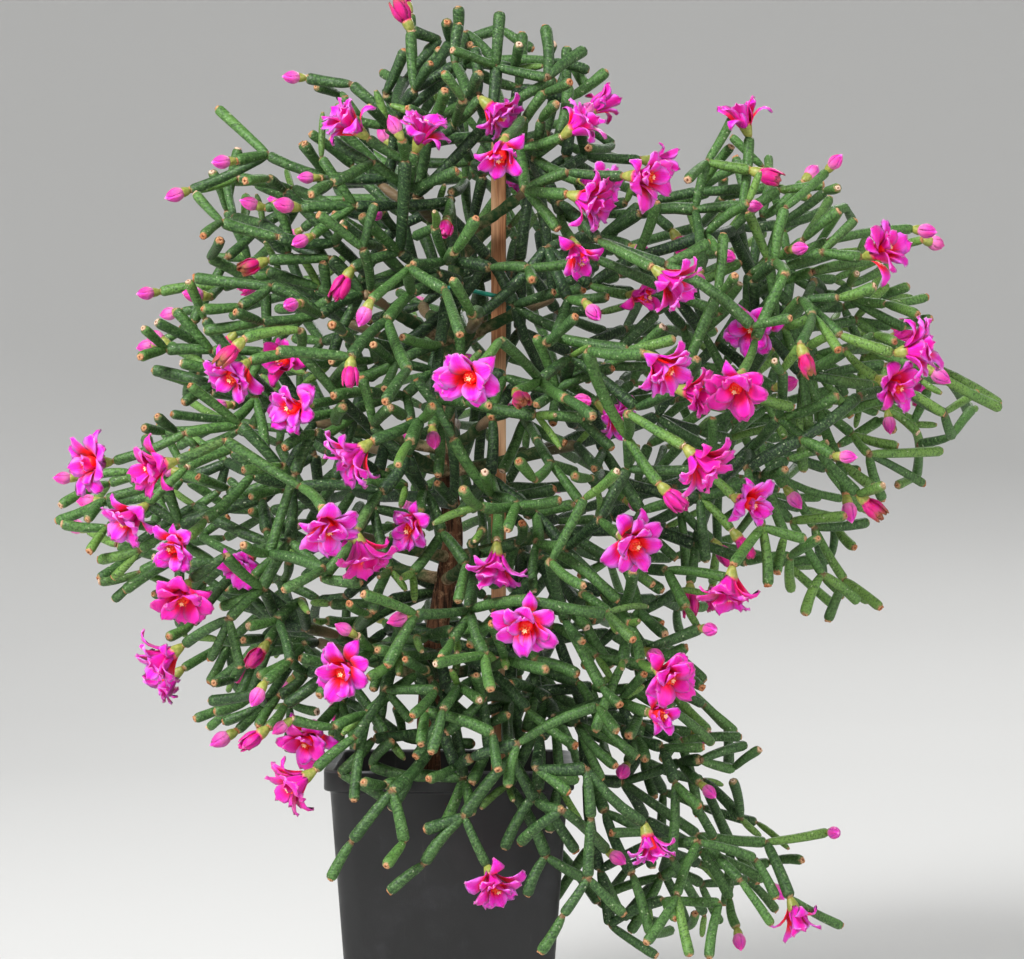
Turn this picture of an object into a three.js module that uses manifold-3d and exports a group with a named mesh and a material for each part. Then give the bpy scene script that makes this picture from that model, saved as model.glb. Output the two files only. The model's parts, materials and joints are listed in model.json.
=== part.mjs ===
// Potted hatiora herminiae: a spineless cactus of round jointed stems on a short woody trunk, tied to a
// wooden stake, in a tapered square pot. Units are millimetres, +Z is up, and the origin is the middle of
// the pot's flat base. The front of the plant faces -Y.

import * as THREE from "three";
import Module from "manifold-3d";
import { ConvexHull } from "three/addons/math/ConvexHull.js";
import { mergeVertices } from "three/addons/utils/BufferGeometryUtils.js";

const wasm = await Module();
wasm.setup();

// Driving dimensions: pot and soil
const POT_HEIGHT = 124;
const POT_RIM_HALF = 48.5;
const POT_BASE_HALF = 37.5;
const POT_WALL = 2;
const POT_FLOOR = 3;
const POT_CORNER = 9;
const RIM_BAND = 8.5;
const RIM_STEP = 1.8;
const DRAIN_RADIUS = 4;
const DRAIN_REACH = 20;
const DRAIN_SIDES = 8;
const RIM_CHAMFER = 0.6;
const SOIL_TOP = 113;
const HOLE_SIDES = 10;
const TRUNK_HOLE_RADIUS = 6;
const TRUNK_HOLE_LENGTH = 60;
const FIT = 0.3;

// Driving dimensions: stake and tie
const STAKE_X = 19;
const STAKE_Y = 5;
const STAKE_WIDTH = 6;
const STAKE_THICKNESS = 3;
const STAKE_FOOT = 34;
const STAKE_TOP = 376;
const STAKE_POINT = 14;
const STAKE_POINT_SHARE = 0.4;
const STAKE_EDGE = 0.5;
const TIE_Z = 308;
const TIE_RADIUS = 0.65;
const TIE_SLOPE = -0.7;
const TIE_SLACK = 0.35;
const TIE_STEPS = 20;
const TIE_SIDES = 5;

// Driving dimensions: trunk and its woody laterals
const TRUNK_PATH = [
  [-8, 0, 86],
  [-9, 0, 139],
  [-6, 0, 175],
  [0.8, 0, 211],
  [-1.2, 0, 234],
  [-2, 0, 268],
  [0.5, 0, 298],
  [2, 0, 320],
  [3, 0, 334],
];
const TRUNK_FOOT_RADIUS = 5;
const TRUNK_TOP_RADIUS = 3.1;
const TRUNK_TAPER = 1.3;
const LATERAL_RADIUS = 2.8;
const LATERAL_ROOT_RADIUS = 2.25;
const LATERAL_TIP_RADIUS = 2.4;
const LATERAL_STAGGER = 9;
const LATERAL_DROP = 4;
const LATERAL_TRIM = 3;
const TRUNK_SIDES = 7;
const LATERAL_SIDES = 5;
const LATERAL_LEVELS = [
  { z: 328, count: 4, turn: 62, reach: 26, rise: 14 },
  { z: 286, count: 6, turn: 46, reach: 34, rise: 12 },
  { z: 243, count: 7, turn: 36, reach: 38, rise: 8 },
  { z: 200, count: 6, turn: 44, reach: 40, rise: 8 },
  { z: 160, count: 6, turn: 34, reach: 44, rise: 10 },
];

// Driving dimensions: green stems and flowers
const STEM_RADIUS = 2.3;
const STEM_SIDES = 4;
const FORK_RADIUS = 1.6;
const STEM_LENGTH = 29;
const SHORTEST_STEM = 16;
const FIRST_STEM = 15;
const CLEARANCE = 0.9;
const FLOWER_STALK = 12;
const PETALS = 5;
const PETAL_REACH = 12.4;
const PETAL_ROOT = 5;
const PETAL_THICKNESS = 1;

// How far the middle of a flower lies from its stem's end
const FLOWER_REACH = { bud: 7, bloom: 12, star: 12, shut: 9 };

// Outlines along a flower's axis: [distance from the stem's end, radius]
const BUD_OUTLINE = [[4, 1.9], [8.5, 3.3], [13.5, 0]];
const SHUT_OUTLINE = [[6, 1.9], [12, 3.5], [17, 2.5]];
const STAR_BASE = [[0.3, 1.5], [3.5, 2.7]];

// The room that each kind takes up, as round solids: [start, end, radius] along its axis
const FLOWER_ROOM = {
  bud: [[1, 9, 3.4]],
  shut: [[1, 15, 3.4]],
  bloom: [[0.5, 8, 2.7], [10, 13, 6.4]],
  star: [[0.5, 8, 2.7], [10, 13, 6.4]],
};
const PETAL_ROOM = [8, 10, 0.9];

// The photographed side is laid out on a plane through the stake, seen from straight in front of it.
const PIXEL_MM = 0.4;
const VIEW_DISTANCE = 1200;
const VIEW_MIDDLE_U = 512;
const VIEW_MIDDLE_V = 479.5;
const VIEW_X = 24.4;
const VIEW_Z = 236.2;

// The crown's outline in the photograph: height v, left edge u, right edge u, and half depth in millimetres.
const CROWN = [
  [-20, 390, 600, 28],
  [60, 290, 640, 55],
  [110, 205, 785, 88],
  [180, 150, 860, 112],
  [260, 130, 945, 128],
  [400, 45, 1010, 138],
  [520, 40, 935, 134],
  [620, 100, 880, 124],
  [720, 190, 780, 108],
  [800, 240, 740, 88],
  [880, 320, 850, 78],
  [980, 380, 870, 74],
];

// The twigs on the photographed side, nearest first. The first row of a twig is the joint that it grows
// from. Each further row is the row it grows on, the photograph's u and v of its end, and for a flower its
// kind and the u and v of the flower's middle. A star is a large open bloom.
const TWIGS = [
  [[437, 275], [0, 412, 292], [1, 387, 320], [2, 351, 357, "shut", 350, 382], [3, 277, 351],
    [2, 408, 370], [5, 385, 402]],
  [[445, 297], [0, 440, 345], [1, 402, 337], [1, 438, 400], [3, 438, 476],
    [3, 432, 427, "bud", 434, 442]],
  [[490, 476], [0, 497, 541, "star", 494, 574], [0, 460, 513], [0, 535, 513], [3, 537, 543],
    [4, 534, 592], [4, 562, 546], [4, 618, 601]],
  [[500, 340], [0, 477, 371, "star", 470, 379]],
  [[505, 377], [0, 491, 418], [0, 557, 390], [2, 536, 336], [2, 613, 368], [2, 536, 405],
    [2, 570, 402, "bud", 582, 402], [2, 613, 449]],
  [[420, 420], [0, 372, 441, "star", 345, 462]],
  [[510, 702], [0, 483, 698], [1, 446, 733], [1, 476, 675], [0, 512, 756], [4, 464, 816],
    [5, 424, 830], [5, 424, 864], [7, 389, 892], [5, 487, 866, "bloom", 498, 888], [4, 536, 801],
    [10, 562, 810], [11, 520, 843], [11, 606, 850, "bud", 619, 858]],
  [[440, 730], [0, 392, 791], [1, 352, 841], [2, 330, 880], [1, 404, 842], [4, 386, 866]],
  [[418, 674], [0, 368, 714], [1, 334, 727], [2, 292, 719, "bud", 276, 731], [1, 354, 801]],
  [[622, 782], [0, 698, 835], [1, 740, 880], [2, 772, 925], [1, 766, 842],
    [4, 828, 832, "bud", 834, 831], [4, 790, 898, "bloom", 800, 928], [6, 842, 926]],
  [[582, 703], [0, 642, 725], [1, 627, 764, "bud", 622, 771], [1, 680, 741], [3, 741, 737],
    [3, 663, 760], [3, 698, 816]],
  [[698, 842], [0, 677, 895], [1, 690, 956], [1, 646, 943]],
  [[285, 478], [0, 262, 500], [1, 266, 532], [2, 284, 549], [3, 253, 577]],
  [[232, 450], [0, 187, 467], [1, 147, 504, "star", 126, 523]],
  [[240, 425], [0, 185, 433], [1, 114, 461, "star", 90, 462]],
  [[262, 588], [0, 229, 619], [1, 184, 645, "star", 160, 663], [1, 240, 668], [1, 210, 660]],
  [[300, 487], [0, 322, 508, "star", 330, 531]],
  [[381, 492], [0, 357, 530, "star", 370, 568]],
  [[628, 413], [0, 684, 446, "star", 706, 470]],
  [[748, 468], [0, 762, 527], [1, 733, 565, "star", 730, 598], [1, 768, 586], [1, 806, 539]],
  [[748, 452], [0, 791, 521], [1, 846, 516], [1, 822, 574], [3, 805, 615], [3, 858, 602]],
  [[588, 350], [0, 644, 353, "star", 668, 372]],
  [[598, 240], [0, 652, 267, "star", 690, 300]],
  [[640, 213], [0, 695, 210], [1, 707, 162], [2, 733, 117], [2, 750, 170, "shut", 771, 178],
    [1, 742, 206, "bud", 757, 207], [5, 749, 137, "bloom", 738, 106], [1, 700, 272, "bud", 698, 284]],
  [[390, 178], [0, 330, 177], [1, 268, 155], [2, 190, 190, "bud", 175, 196], [2, 217, 108],
    [2, 236, 161, "bud", 221, 163], [1, 320, 178, "bud", 303, 178]],
  [[490, 120], [0, 496, 67], [1, 500, 12], [1, 452, 50], [1, 547, 78], [4, 545, 26], [4, 585, 50]],
  [[415, 90], [0, 411, 31, "shut", 400, 5], [0, 431, 63], [0, 455, 65], [3, 459, 24]],
  [[535, 600], [0, 530, 611, "star", 525, 628]],
  [[755, 340], [0, 742, 372, "star", 733, 391]],
  [[775, 296], [0, 762, 318, "star", 749, 331]],
  [[840, 335], [0, 893, 353, "star", 925, 346]],
  [[870, 348], [0, 925, 367, "bud", 942, 378], [1, 1000, 408]],
  [[818, 408], [0, 852, 434], [1, 898, 446], [1, 869, 454], [3, 942, 451], [3, 883, 500], [3, 924, 484]],
  [[778, 418], [0, 818, 452], [1, 858, 494, "shut", 884, 520], [2, 884, 485]],
  [[770, 335], [0, 801, 373], [1, 873, 386], [1, 809, 434]],
  [[793, 325], [0, 820, 377], [1, 851, 417]],
  [[775, 330], [0, 768, 260], [1, 783, 216], [1, 748, 212], [1, 788, 250, "bud", 801, 249]],
  [[780, 257], [0, 828, 241], [1, 912, 229, "bud", 926, 232], [0, 803, 240], [3, 830, 198]],
  [[785, 268], [0, 822, 252], [1, 862, 257, "star", 885, 249]],
  [[775, 262], [0, 785, 208], [1, 826, 172, "bud", 836, 161]],
  [[780, 283], [0, 812, 272], [1, 874, 260, "bud", 889, 257]],
  [[850, 298], [0, 905, 328], [0, 886, 304], [2, 927, 297]],
  [[845, 350], [0, 877, 378, "bloom", 897, 389]],
  [[885, 365], [0, 888, 410, "bud", 889, 427], [1, 918, 433]],
  [[800, 300], [0, 812, 315], [1, 838, 350], [1, 800, 345, "shut", 808, 368]],
  [[355, 737], [0, 315, 770, "star", 290, 788]],
  [[597, 648], [0, 637, 667], [1, 687, 647], [0, 585, 667]],
  [[622, 612], [0, 633, 571], [0, 645, 650, "bud", 655, 656], [2, 701, 628, "bud", 711, 629]],
  [[640, 662], [0, 655, 668, "star", 670, 678]],
  [[643, 526], [0, 695, 544], [1, 690, 583, "shut", 690, 607], [0, 676, 559]],
  [[628, 438], [0, 659, 484, "shut", 681, 506]],
  [[700, 498], [0, 706, 562], [0, 732, 530, "shut", 752, 556]],
  [[700, 470], [0, 733, 497, "bloom", 752, 505]],
  [[636, 408], [0, 675, 389, "bloom", 703, 395]],
  [[565, 385], [0, 597, 403, "bloom", 622, 420]],
  [[470, 610], [0, 416, 614, "bud", 393, 621], [1, 363, 594], [1, 387, 666]],
  [[485, 655], [0, 435, 664], [0, 491, 690]],
  [[533, 655], [0, 536, 690], [1, 510, 684], [1, 525, 731]],
  [[540, 738], [0, 536, 769], [1, 569, 793]],
  [[548, 700], [0, 578, 724], [1, 602, 780], [1, 627, 747]],
  [[508, 785], [0, 546, 856], [1, 584, 878], [1, 527, 896]],
  [[586, 768], [0, 591, 818], [1, 588, 878], [2, 624, 914], [2, 563, 915], [4, 540, 953],
    [0, 644, 823, "bloom", 652, 853]],
  [[600, 870], [0, 610, 925], [1, 657, 956]],
  [[700, 850], [0, 730, 899], [1, 737, 928, "bud", 739, 942], [0, 765, 880, "bud", 777, 892],
    [0, 661, 877], [4, 630, 932]],
  [[680, 762], [0, 700, 760], [1, 746, 745], [1, 733, 769], [3, 760, 749],
    [0, 700, 783, "bud", 711, 793]],
  [[650, 728], [0, 692, 733, "bud", 706, 736], [0, 690, 706]],
  [[620, 700], [0, 648, 712, "bloom", 663, 714]],
  [[455, 262], [0, 490, 268], [1, 528, 268], [2, 532, 280]],
  [[514, 305], [0, 565, 331]],
  [[547, 248], [0, 568, 299], [1, 608, 297], [1, 585, 302, "bud", 594, 314]],
  [[560, 213], [0, 572, 240, "bloom", 581, 264]],
  [[525, 190], [0, 567, 194, "star", 596, 203]],
  [[535, 158], [0, 580, 180, "bloom", 606, 188]],
  [[568, 172], [0, 623, 176, "star", 650, 179]],
  [[520, 148], [0, 562, 137, "bloom", 588, 116]],
  [[557, 138], [0, 568, 85]],
  [[398, 118], [0, 352, 84], [1, 306, 78, "bud", 290, 78]],
  [[405, 160], [0, 368, 138, "star", 344, 120], [0, 402, 140, "bud", 393, 123]],
  [[408, 190], [0, 415, 152, "bloom", 426, 124]],
  [[455, 125], [0, 480, 98, "bloom", 503, 119]],
  [[522, 118], [0, 505, 138, "bloom", 499, 162]],
  [[400, 205], [0, 355, 206], [1, 300, 208, "bud", 285, 206], [1, 312, 236, "bud", 299, 243]],
  [[395, 228], [0, 335, 207], [1, 265, 208, "bud", 248, 203], [0, 382, 212, "bud", 375, 217]],
  [[335, 243], [0, 278, 237], [1, 222, 222], [2, 195, 193], [2, 203, 236]],
  [[330, 258], [0, 268, 260, "shut", 245, 270]],
  [[280, 274], [0, 222, 287], [1, 160, 292, "bud", 145, 294], [1, 210, 297, "bud", 195, 295]],
  [[320, 315], [0, 262, 322], [1, 204, 331], [1, 235, 312], [0, 300, 303, "bud", 290, 306]],
  [[268, 352], [0, 212, 351], [1, 166, 350], [2, 143, 328], [2, 140, 357]],
  [[300, 330], [0, 244, 339, "shut", 224, 360]],
  [[300, 352], [0, 250, 361, "star", 234, 380]],
  [[250, 398], [0, 213, 385], [1, 152, 370], [1, 183, 403], [0, 232, 405, "bud", 217, 406]],
  [[410, 268], [0, 371, 300, "bud", 362, 320]],
  [[400, 252], [0, 352, 268, "shut", 335, 298]],
  [[330, 365], [0, 300, 362, "bloom", 281, 361]],
  [[340, 400], [0, 310, 405, "bloom", 290, 409]],
  [[432, 370], [0, 405, 395], [1, 410, 421, "bud", 411, 435], [1, 355, 410]],
  [[315, 455], [0, 275, 480], [1, 223, 502]],
  [[292, 485], [0, 290, 541], [1, 328, 576]],
  [[130, 472], [0, 78, 478, "bud", 60, 478]],
  [[225, 440], [0, 177, 461, "star", 150, 468]],
  [[165, 483], [0, 106, 499], [1, 57, 521], [1, 87, 520]],
  [[195, 505], [0, 138, 543]],
  [[180, 525], [0, 140, 550], [1, 113, 578], [1, 99, 560]],
  [[150, 505], [0, 107, 527], [1, 89, 552]],
  [[205, 520], [0, 187, 537, "bloom", 173, 548]],
  [[225, 555], [0, 190, 580, "star", 187, 600]],
  [[275, 545], [0, 255, 553, "bloom", 241, 568]],
  [[175, 560], [0, 124, 591]],
  [[300, 600], [0, 277, 620], [1, 247, 626]],
  [[280, 625], [0, 268, 642, "shut", 256, 660]],
  [[290, 662], [0, 265, 682, "bud", 257, 697]],
  [[258, 693], [0, 209, 701]],
  [[265, 705], [0, 237, 731, "bud", 220, 740], [0, 223, 722]],
  [[285, 705], [0, 268, 728, "shut", 250, 742]],
  [[340, 702], [0, 318, 728, "bloom", 307, 742]],
  [[345, 665], [0, 337, 697, "bud", 335, 712]],
  [[400, 650], [0, 338, 668], [1, 319, 696], [1, 300, 658]],
  [[372, 650], [0, 357, 636, "bud", 339, 626], [0, 350, 664, "bloom", 343, 672]],
  [[562, 578], [0, 543, 623]],
  [[424, 490], [0, 420, 512, "bloom", 408, 530]],
  [[600, 472], [0, 625, 500, "bud", 638, 506]],
  [[600, 520], [0, 620, 535, "bloom", 636, 546]],
  [[640, 205], [0, 672, 230, "shut", 683, 250]],
  [[600, 238], [0, 630, 247, "bud", 645, 251]],
  [[590, 285], [0, 628, 295, "bloom", 647, 299]],
  [[705, 235], [0, 718, 253, "bud", 730, 258]],
  [[750, 372], [0, 775, 388, "bud", 787, 384], [0, 785, 438]],
  [[800, 440], [0, 833, 456, "bud", 850, 457]],
  [[838, 460], [0, 846, 495, "bud", 849, 512]],
  [[760, 440], [0, 785, 487, "bud", 796, 502]],
  [[540, 380], [0, 515, 392, "shut", 522, 401]],
  [[450, 200], [0, 447, 220, "shut", 445, 232]],
];

// How the twigs are set in depth, how the unseen back of the crown repeats them, and how they are joined on
const SHARES = [1, 0.9, 0.8, 0.7, 0.6, 0.5, 0.4, 0.3, 0.2, 0.1, 0.03];
const RANK_STEP = 0.17;
const BACK_SHIFT_U = 30;
const BACK_SHIFT_V = 24;
const BACK_LOWEST_V = 790;
const CASCADE_LEFT_U = 560;
const CASCADE_TOP_V = 690;
const BACK_KEPT = 0.46;
const BACK_BLOOMS = 0.4;
const BACK_BUDS = 0.6;
const RIM_ROOM = 8;
const HANG_SPREAD = 26;
const POT_ROOM = 2.5;
const FLATTEST_FACING = 0.98;
const LEAST_FACING = 0.2;
const SHORTEST_LINK = 11;
const EASY_LINK = 24;
const LONG_LINK = 34;
const PATH_TRIES = 8;
const STRAIGHT_TRIES = 2;
const PATH_SWAY = 7;
const PATH_ARCH = 0.4;
const MOST_CANDIDATES = 40;
const MOST_KIDS = 3;
const LEAST_TURN = -0.2;
const OUTWARD_ROOM = 6;
const COST = { kid: 9, turn: 12, outward: 35, length: 0.7, crowding: 0.3 };
const FORK_SHARE = 0.42;
const FORK_ROOM = 1.04;
const LEAST_FORK_RADIUS = 1.75;
const NARROWEST_FORK = 0.84;
const SHARPEST_BEND = -0.45;

const COLOURS = {
  pot: { color: 0x17181b, roughness: 0.5, metalness: 0 },
  soil: { color: 0x3a2a1e, roughness: 0.95, metalness: 0 },
  stake: { color: 0xa9764a, roughness: 0.8, metalness: 0 },
  tie: { color: 0x1f8a6d, roughness: 0.4, metalness: 0 },
  bark: { color: 0x6b4a38, roughness: 0.9, metalness: 0 },
  stem: { color: 0x4f8a3c, roughness: 0.55, metalness: 0 },
  petal: { color: 0xf02ec0, roughness: 0.5, metalness: 0 },
};

// Points and directions are [x, y, z].
const add = (a, b) => [a[0] + b[0], a[1] + b[1], a[2] + b[2]];
const sub = (a, b) => [a[0] - b[0], a[1] - b[1], a[2] - b[2]];
const scale = (a, s) => [a[0] * s, a[1] * s, a[2] * s];
const dot = (a, b) => a[0] * b[0] + a[1] * b[1] + a[2] * b[2];
const along = (a, d, s) => [a[0] + d[0] * s, a[1] + d[1] * s, a[2] + d[2] * s];
const size = (a) => Math.sqrt(dot(a, a));
const unit = (a) => scale(a, 1 / size(a));
const distance = (a, b) => size(sub(a, b));
const mix = (a, b, t) => add(scale(a, 1 - t), scale(b, t));
const clamp = (x, low, high) => Math.min(Math.max(x, low), high);
const cross = (a, b) => [a[1] * b[2] - a[2] * b[1], a[2] * b[0] - a[0] * b[2], a[0] * b[1] - a[1] * b[0]];
const thousandth = (x) => Math.floor(x * 1000 + 0.5) / 1000;

// A small seeded generator, so the plant grows the same each time
let seed = 20731;
function draw() {
  seed = (seed * 48271) % 2147483647;
  return seed / 2147483647;
}
const spread = (width) => (draw() - 0.5) * 2 * width;

function fromView(u, v, y) {
  const reach = (PIXEL_MM * (VIEW_DISTANCE + y)) / VIEW_DISTANCE;
  return [VIEW_X + (u - VIEW_MIDDLE_U) * reach, y, VIEW_Z + (VIEW_MIDDLE_V - v) * reach];
}

// Half depth of the crown where a line of sight meets it
function crownDepth(u, v) {
  let row = 0;
  while (row < CROWN.length - 2 && CROWN[row + 1][0] < v) {
    row += 1;
  }
  const [low, high] = [CROWN[row], CROWN[row + 1]];
  const t = clamp((v - low[0]) / (high[0] - low[0]), 0, 1);
  const [, left, right, depth] = low.map((value, i) => value + (high[i] - value) * t);
  const aside = clamp((u - (left + right) / 2) / ((right - left) / 2), -0.98, 0.98);
  return depth * Math.sqrt(1 - aside * aside);
}

// Two perpendicular directions across a direction
function acrossOf(d) {
  const first = unit(cross(d, Math.abs(d[2]) > 0.9 ? [1, 0, 0] : [0, 0, 1]));
  return [first, cross(d, first)];
}

// Shortest distance between two straight stems
function stemDistance(p1, q1, p2, q2) {
  const d1 = sub(q1, p1);
  const d2 = sub(q2, p2);
  const r = sub(p1, p2);
  const a = dot(d1, d1);
  const e = dot(d2, d2);
  const f = dot(d2, r);
  const c = dot(d1, r);
  const b = dot(d1, d2);
  const denominator = a * e - b * b;
  let s = denominator > 1e-6 ? clamp((b * f - c * e) / denominator, 0, 1) : 0;
  let t = (b * s + f) / e;
  if (t < 0) {
    t = 0;
    s = clamp(-c / a, 0, 1);
  } else if (t > 1) {
    t = 1;
    s = clamp((b - c) / a, 0, 1);
  }
  return distance(along(p1, d1, s), along(p2, d2, t));
}

// Everything placed so far: straight round solids, with the joints that they touch
const solids = [];
const joints = [];
const stems = [];

function addSolid(a, b, radius, from = -1, to = -1) {
  solids.push({ a, b, radius, from, to, middle: mix(a, b, 0.5), half: distance(a, b) / 2 });
}

function touchesPot(a, b, radius) {
  const keep = POT_RIM_HALF + radius + POT_ROOM;
  for (let i = 0; i <= 6; i += 1) {
    const p = mix(a, b, i / 6);
    const low = p[2] < POT_HEIGHT + radius + POT_ROOM;
    if (p[2] < radius + POT_ROOM || (low && Math.abs(p[0]) < keep && Math.abs(p[1]) < keep)) {
      return true;
    }
  }
  return false;
}

function isClear(a, b, radius, from = -1, to = -1) {
  if (touchesPot(a, b, radius)) {
    return false;
  }
  const middle = mix(a, b, 0.5);
  const half = distance(a, b) / 2;
  for (const solid of solids) {
    const keep = radius + solid.radius + CLEARANCE;
    const shared = (id) => id >= 0 && (id === solid.from || id === solid.to);
    if (shared(from) || shared(to) || distance(middle, solid.middle) > half + solid.half + keep) {
      continue;
    }
    if (stemDistance(a, b, solid.a, solid.b) < keep) {
      return false;
    }
  }
  return true;
}

// Five even directions round a circle
const FIFTHS = [
  [1, 0],
  [0.309, 0.951],
  [-0.809, 0.588],
  [-0.809, -0.588],
  [0.309, -0.951],
];

const isOpen = (kind) => kind === "bloom" || kind === "star";

// The solids that a flower takes up: its body, and five petals where it is open
function flowerSolids(kind, at, facing) {
  const parts = FLOWER_ROOM[kind].map(([start, end, radius]) => {
    return { a: along(at, facing, start), b: along(at, facing, end), radius };
  });
  if (isOpen(kind)) {
    const [e, f] = acrossOf(facing);
    const [start, end, radius] = PETAL_ROOM;
    for (const [c, s] of FIFTHS) {
      const out = add(scale(e, c), scale(f, s));
      const tip = along(along(at, facing, end), out, PETAL_REACH);
      parts.push({ a: along(at, facing, start), b: tip, radius });
    }
  }
  return parts;
}

// Rank 0 is a stem end, and each stem back from it adds one.
function ranksOf(rows) {
  const ranks = rows.map(() => 0);
  for (let i = rows.length - 1; i > 0; i -= 1) {
    ranks[rows[i][0]] = Math.max(ranks[rows[i][0]], ranks[i] + 1);
  }
  return ranks;
}

// A twig that hangs lower than the pot's rim passes in front of the pot.
function hangsPastRim(point) {
  return point[2] < POT_HEIGHT + RIM_ROOM && Math.abs(point[0]) < POT_RIM_HALF + RIM_ROOM;
}

// The points of a twig at one share of the crown's depth. Side is -1 at the front and 1 at the back.
function twigPoints(rows, side, share, shiftU, shiftV) {
  const ranks = ranksOf(rows);
  const points = [];
  rows.forEach((row, i) => {
    const [u, v] = i === 0 ? row : [row[1], row[2]];
    let depth = crownDepth(u + shiftU, v + shiftV) * share * (1 - RANK_STEP * ranks[i]);
    if (hangsPastRim(fromView(u + shiftU, v + shiftV, side * depth))) {
      depth = Math.max(depth, POT_RIM_HALF + RIM_ROOM + HANG_SPREAD * share);
    }
    let point = fromView(u + shiftU, v + shiftV, side * depth);
    if (i > 0) {
      const start = points[row[0]];
      const dx = point[0] - start[0];
      const dz = point[2] - start[2];
      const flat = dx * dx + dz * dz;
      if (distance(point, start) < SHORTEST_STEM && flat < SHORTEST_STEM * SHORTEST_STEM) {
        const deep = Math.sqrt(SHORTEST_STEM * SHORTEST_STEM - flat);
        point = fromView(u + shiftU, v + shiftV, start[1] + side * deep);
      }
    }
    points.push(point);
  });
  return points;
}

function flowerFacing(row, at, side, shiftU, shiftV) {
  const middle = fromView(row[4] + shiftU, row[5] + shiftV, at[1]);
  const dx = middle[0] - at[0];
  const dz = middle[2] - at[2];
  const reach = FLOWER_REACH[row[3]];
  const flat = Math.sqrt(dx * dx + dz * dz);
  const leans = flat < reach * FLATTEST_FACING;
  const deep = leans ? Math.sqrt(reach * reach - flat * flat) : reach * LEAST_FACING;
  return unit([dx, side * deep, dz]);
}

// How far from a joint the stems that part there have their rings, and how thick they are at them
function forkFit(ways, shortest) {
  let closest = -1;
  for (let i = 0; i < ways.length; i += 1) {
    for (let k = i + 1; k < ways.length; k += 1) {
      closest = Math.max(closest, dot(ways[i], ways[k]));
    }
  }
  const halfTan = Math.sqrt((1 - closest) / (1 + closest));
  const reach = Math.min(FORK_SHARE * shortest, (STEM_RADIUS * FORK_ROOM) / halfTan);
  return { reach, radius: Math.min(STEM_RADIUS, (reach * halfTan) / FORK_ROOM) };
}

// True where no two stems of a twig part so narrowly that they would come out thin.
function forksAreOpen(rows, points) {
  return points.every((point, i) => {
    const ends = [];
    rows.forEach((row, k) => {
      if (k > 0 && (row[0] === i || k === i)) {
        ends.push(k === i ? points[row[0]] : points[k]);
      }
    });
    const ways = ends.map((end) => unit(sub(end, point)));
    const shortest = Math.min(...ends.map((end) => distance(end, point)));
    const isFork = ends.length > 2 || (i === 0 && ends.length === 2);
    return !isFork || forkFit(ways, shortest).radius >= LEAST_FORK_RADIUS;
  });
}

// Puts a twig at the first share of the depth where it is clear of all that is placed.
function placeTwig(rows, side, firstShare, shiftU = 0, shiftV = 0) {
  for (let attempt = 0; attempt < 2 * SHARES.length; attempt += 1) {
    const share = SHARES[(attempt + firstShare) % SHARES.length];
    const points = twigPoints(rows, side, share, shiftU, shiftV);
    const facings = rows.map((row, i) => {
      return row[3] ? flowerFacing(row, points[i], side, shiftU, shiftV) : null;
    });
    const open = attempt >= SHARES.length || forksAreOpen(rows, points);
    const clear = open && rows.every((row, i) => {
      const stemClear = i === 0 || isClear(points[row[0]], points[i], STEM_RADIUS);
      const parts = facings[i] ? flowerSolids(row[3], points[i], facings[i]) : [];
      return stemClear && parts.every((part) => isClear(part.a, part.b, part.radius));
    });
    if (clear) {
      const first = joints.length;
      rows.forEach((row, i) => {
        joints.push({ at: points[i], spray: -1, closed: i > 0, kids: [], inward: null });
        if (i > 0) {
          joints[first + row[0]].closed = false;
          addStem(first + row[0], first + i);
        }
      });
      rows.forEach((row, i) => {
        if (facings[i]) {
          setFlower(first + i, row[3], facings[i]);
        }
      });
      return first;
    }
  }
  return -1;
}

function addStem(from, to) {
  const inward = unit(sub(joints[from].at, joints[to].at));
  joints[from].kids.push(to);
  joints[to].inward = inward;
  joints[to].length = distance(joints[from].at, joints[to].at);
  stems.push({ from, to });
  addSolid(joints[from].at, joints[to].at, STEM_RADIUS, from, to);
}

function setFlower(joint, kind, facing) {
  joints[joint].flower = kind;
  joints[joint].facing = facing;
  joints[joint].closed = true;
  flowerSolids(kind, joints[joint].at, facing).forEach((part, i) => {
    addSolid(part.a, part.b, part.radius, i === 0 ? joint : -1);
  });
}

// Where each woody lateral leaves the trunk and where its tip is
function trunkAt(z) {
  let row = 0;
  while (row < TRUNK_PATH.length - 2 && TRUNK_PATH[row + 1][2] < z) {
    row += 1;
  }
  const [low, high] = [TRUNK_PATH[row], TRUNK_PATH[row + 1]];
  return mix(low, high, (z - low[2]) / (high[2] - low[2]));
}

function lateralList() {
  const list = [];
  for (const level of LATERAL_LEVELS) {
    for (let i = 0; i < level.count; i += 1) {
      const turn = ((level.turn + (360 * i) / level.count) * Math.PI) / 180;
      const z = level.z + (i % 2) * LATERAL_STAGGER - LATERAL_DROP;
      const from = trunkAt(z);
      const out = [thousandth(Math.cos(turn)), thousandth(Math.sin(turn)), 0];
      const reach = level.reach - (i % 3) * LATERAL_TRIM;
      list.push({ from, to: add(along(from, out, reach), [0, 0, level.rise]) });
    }
  }
  return list;
}

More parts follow.
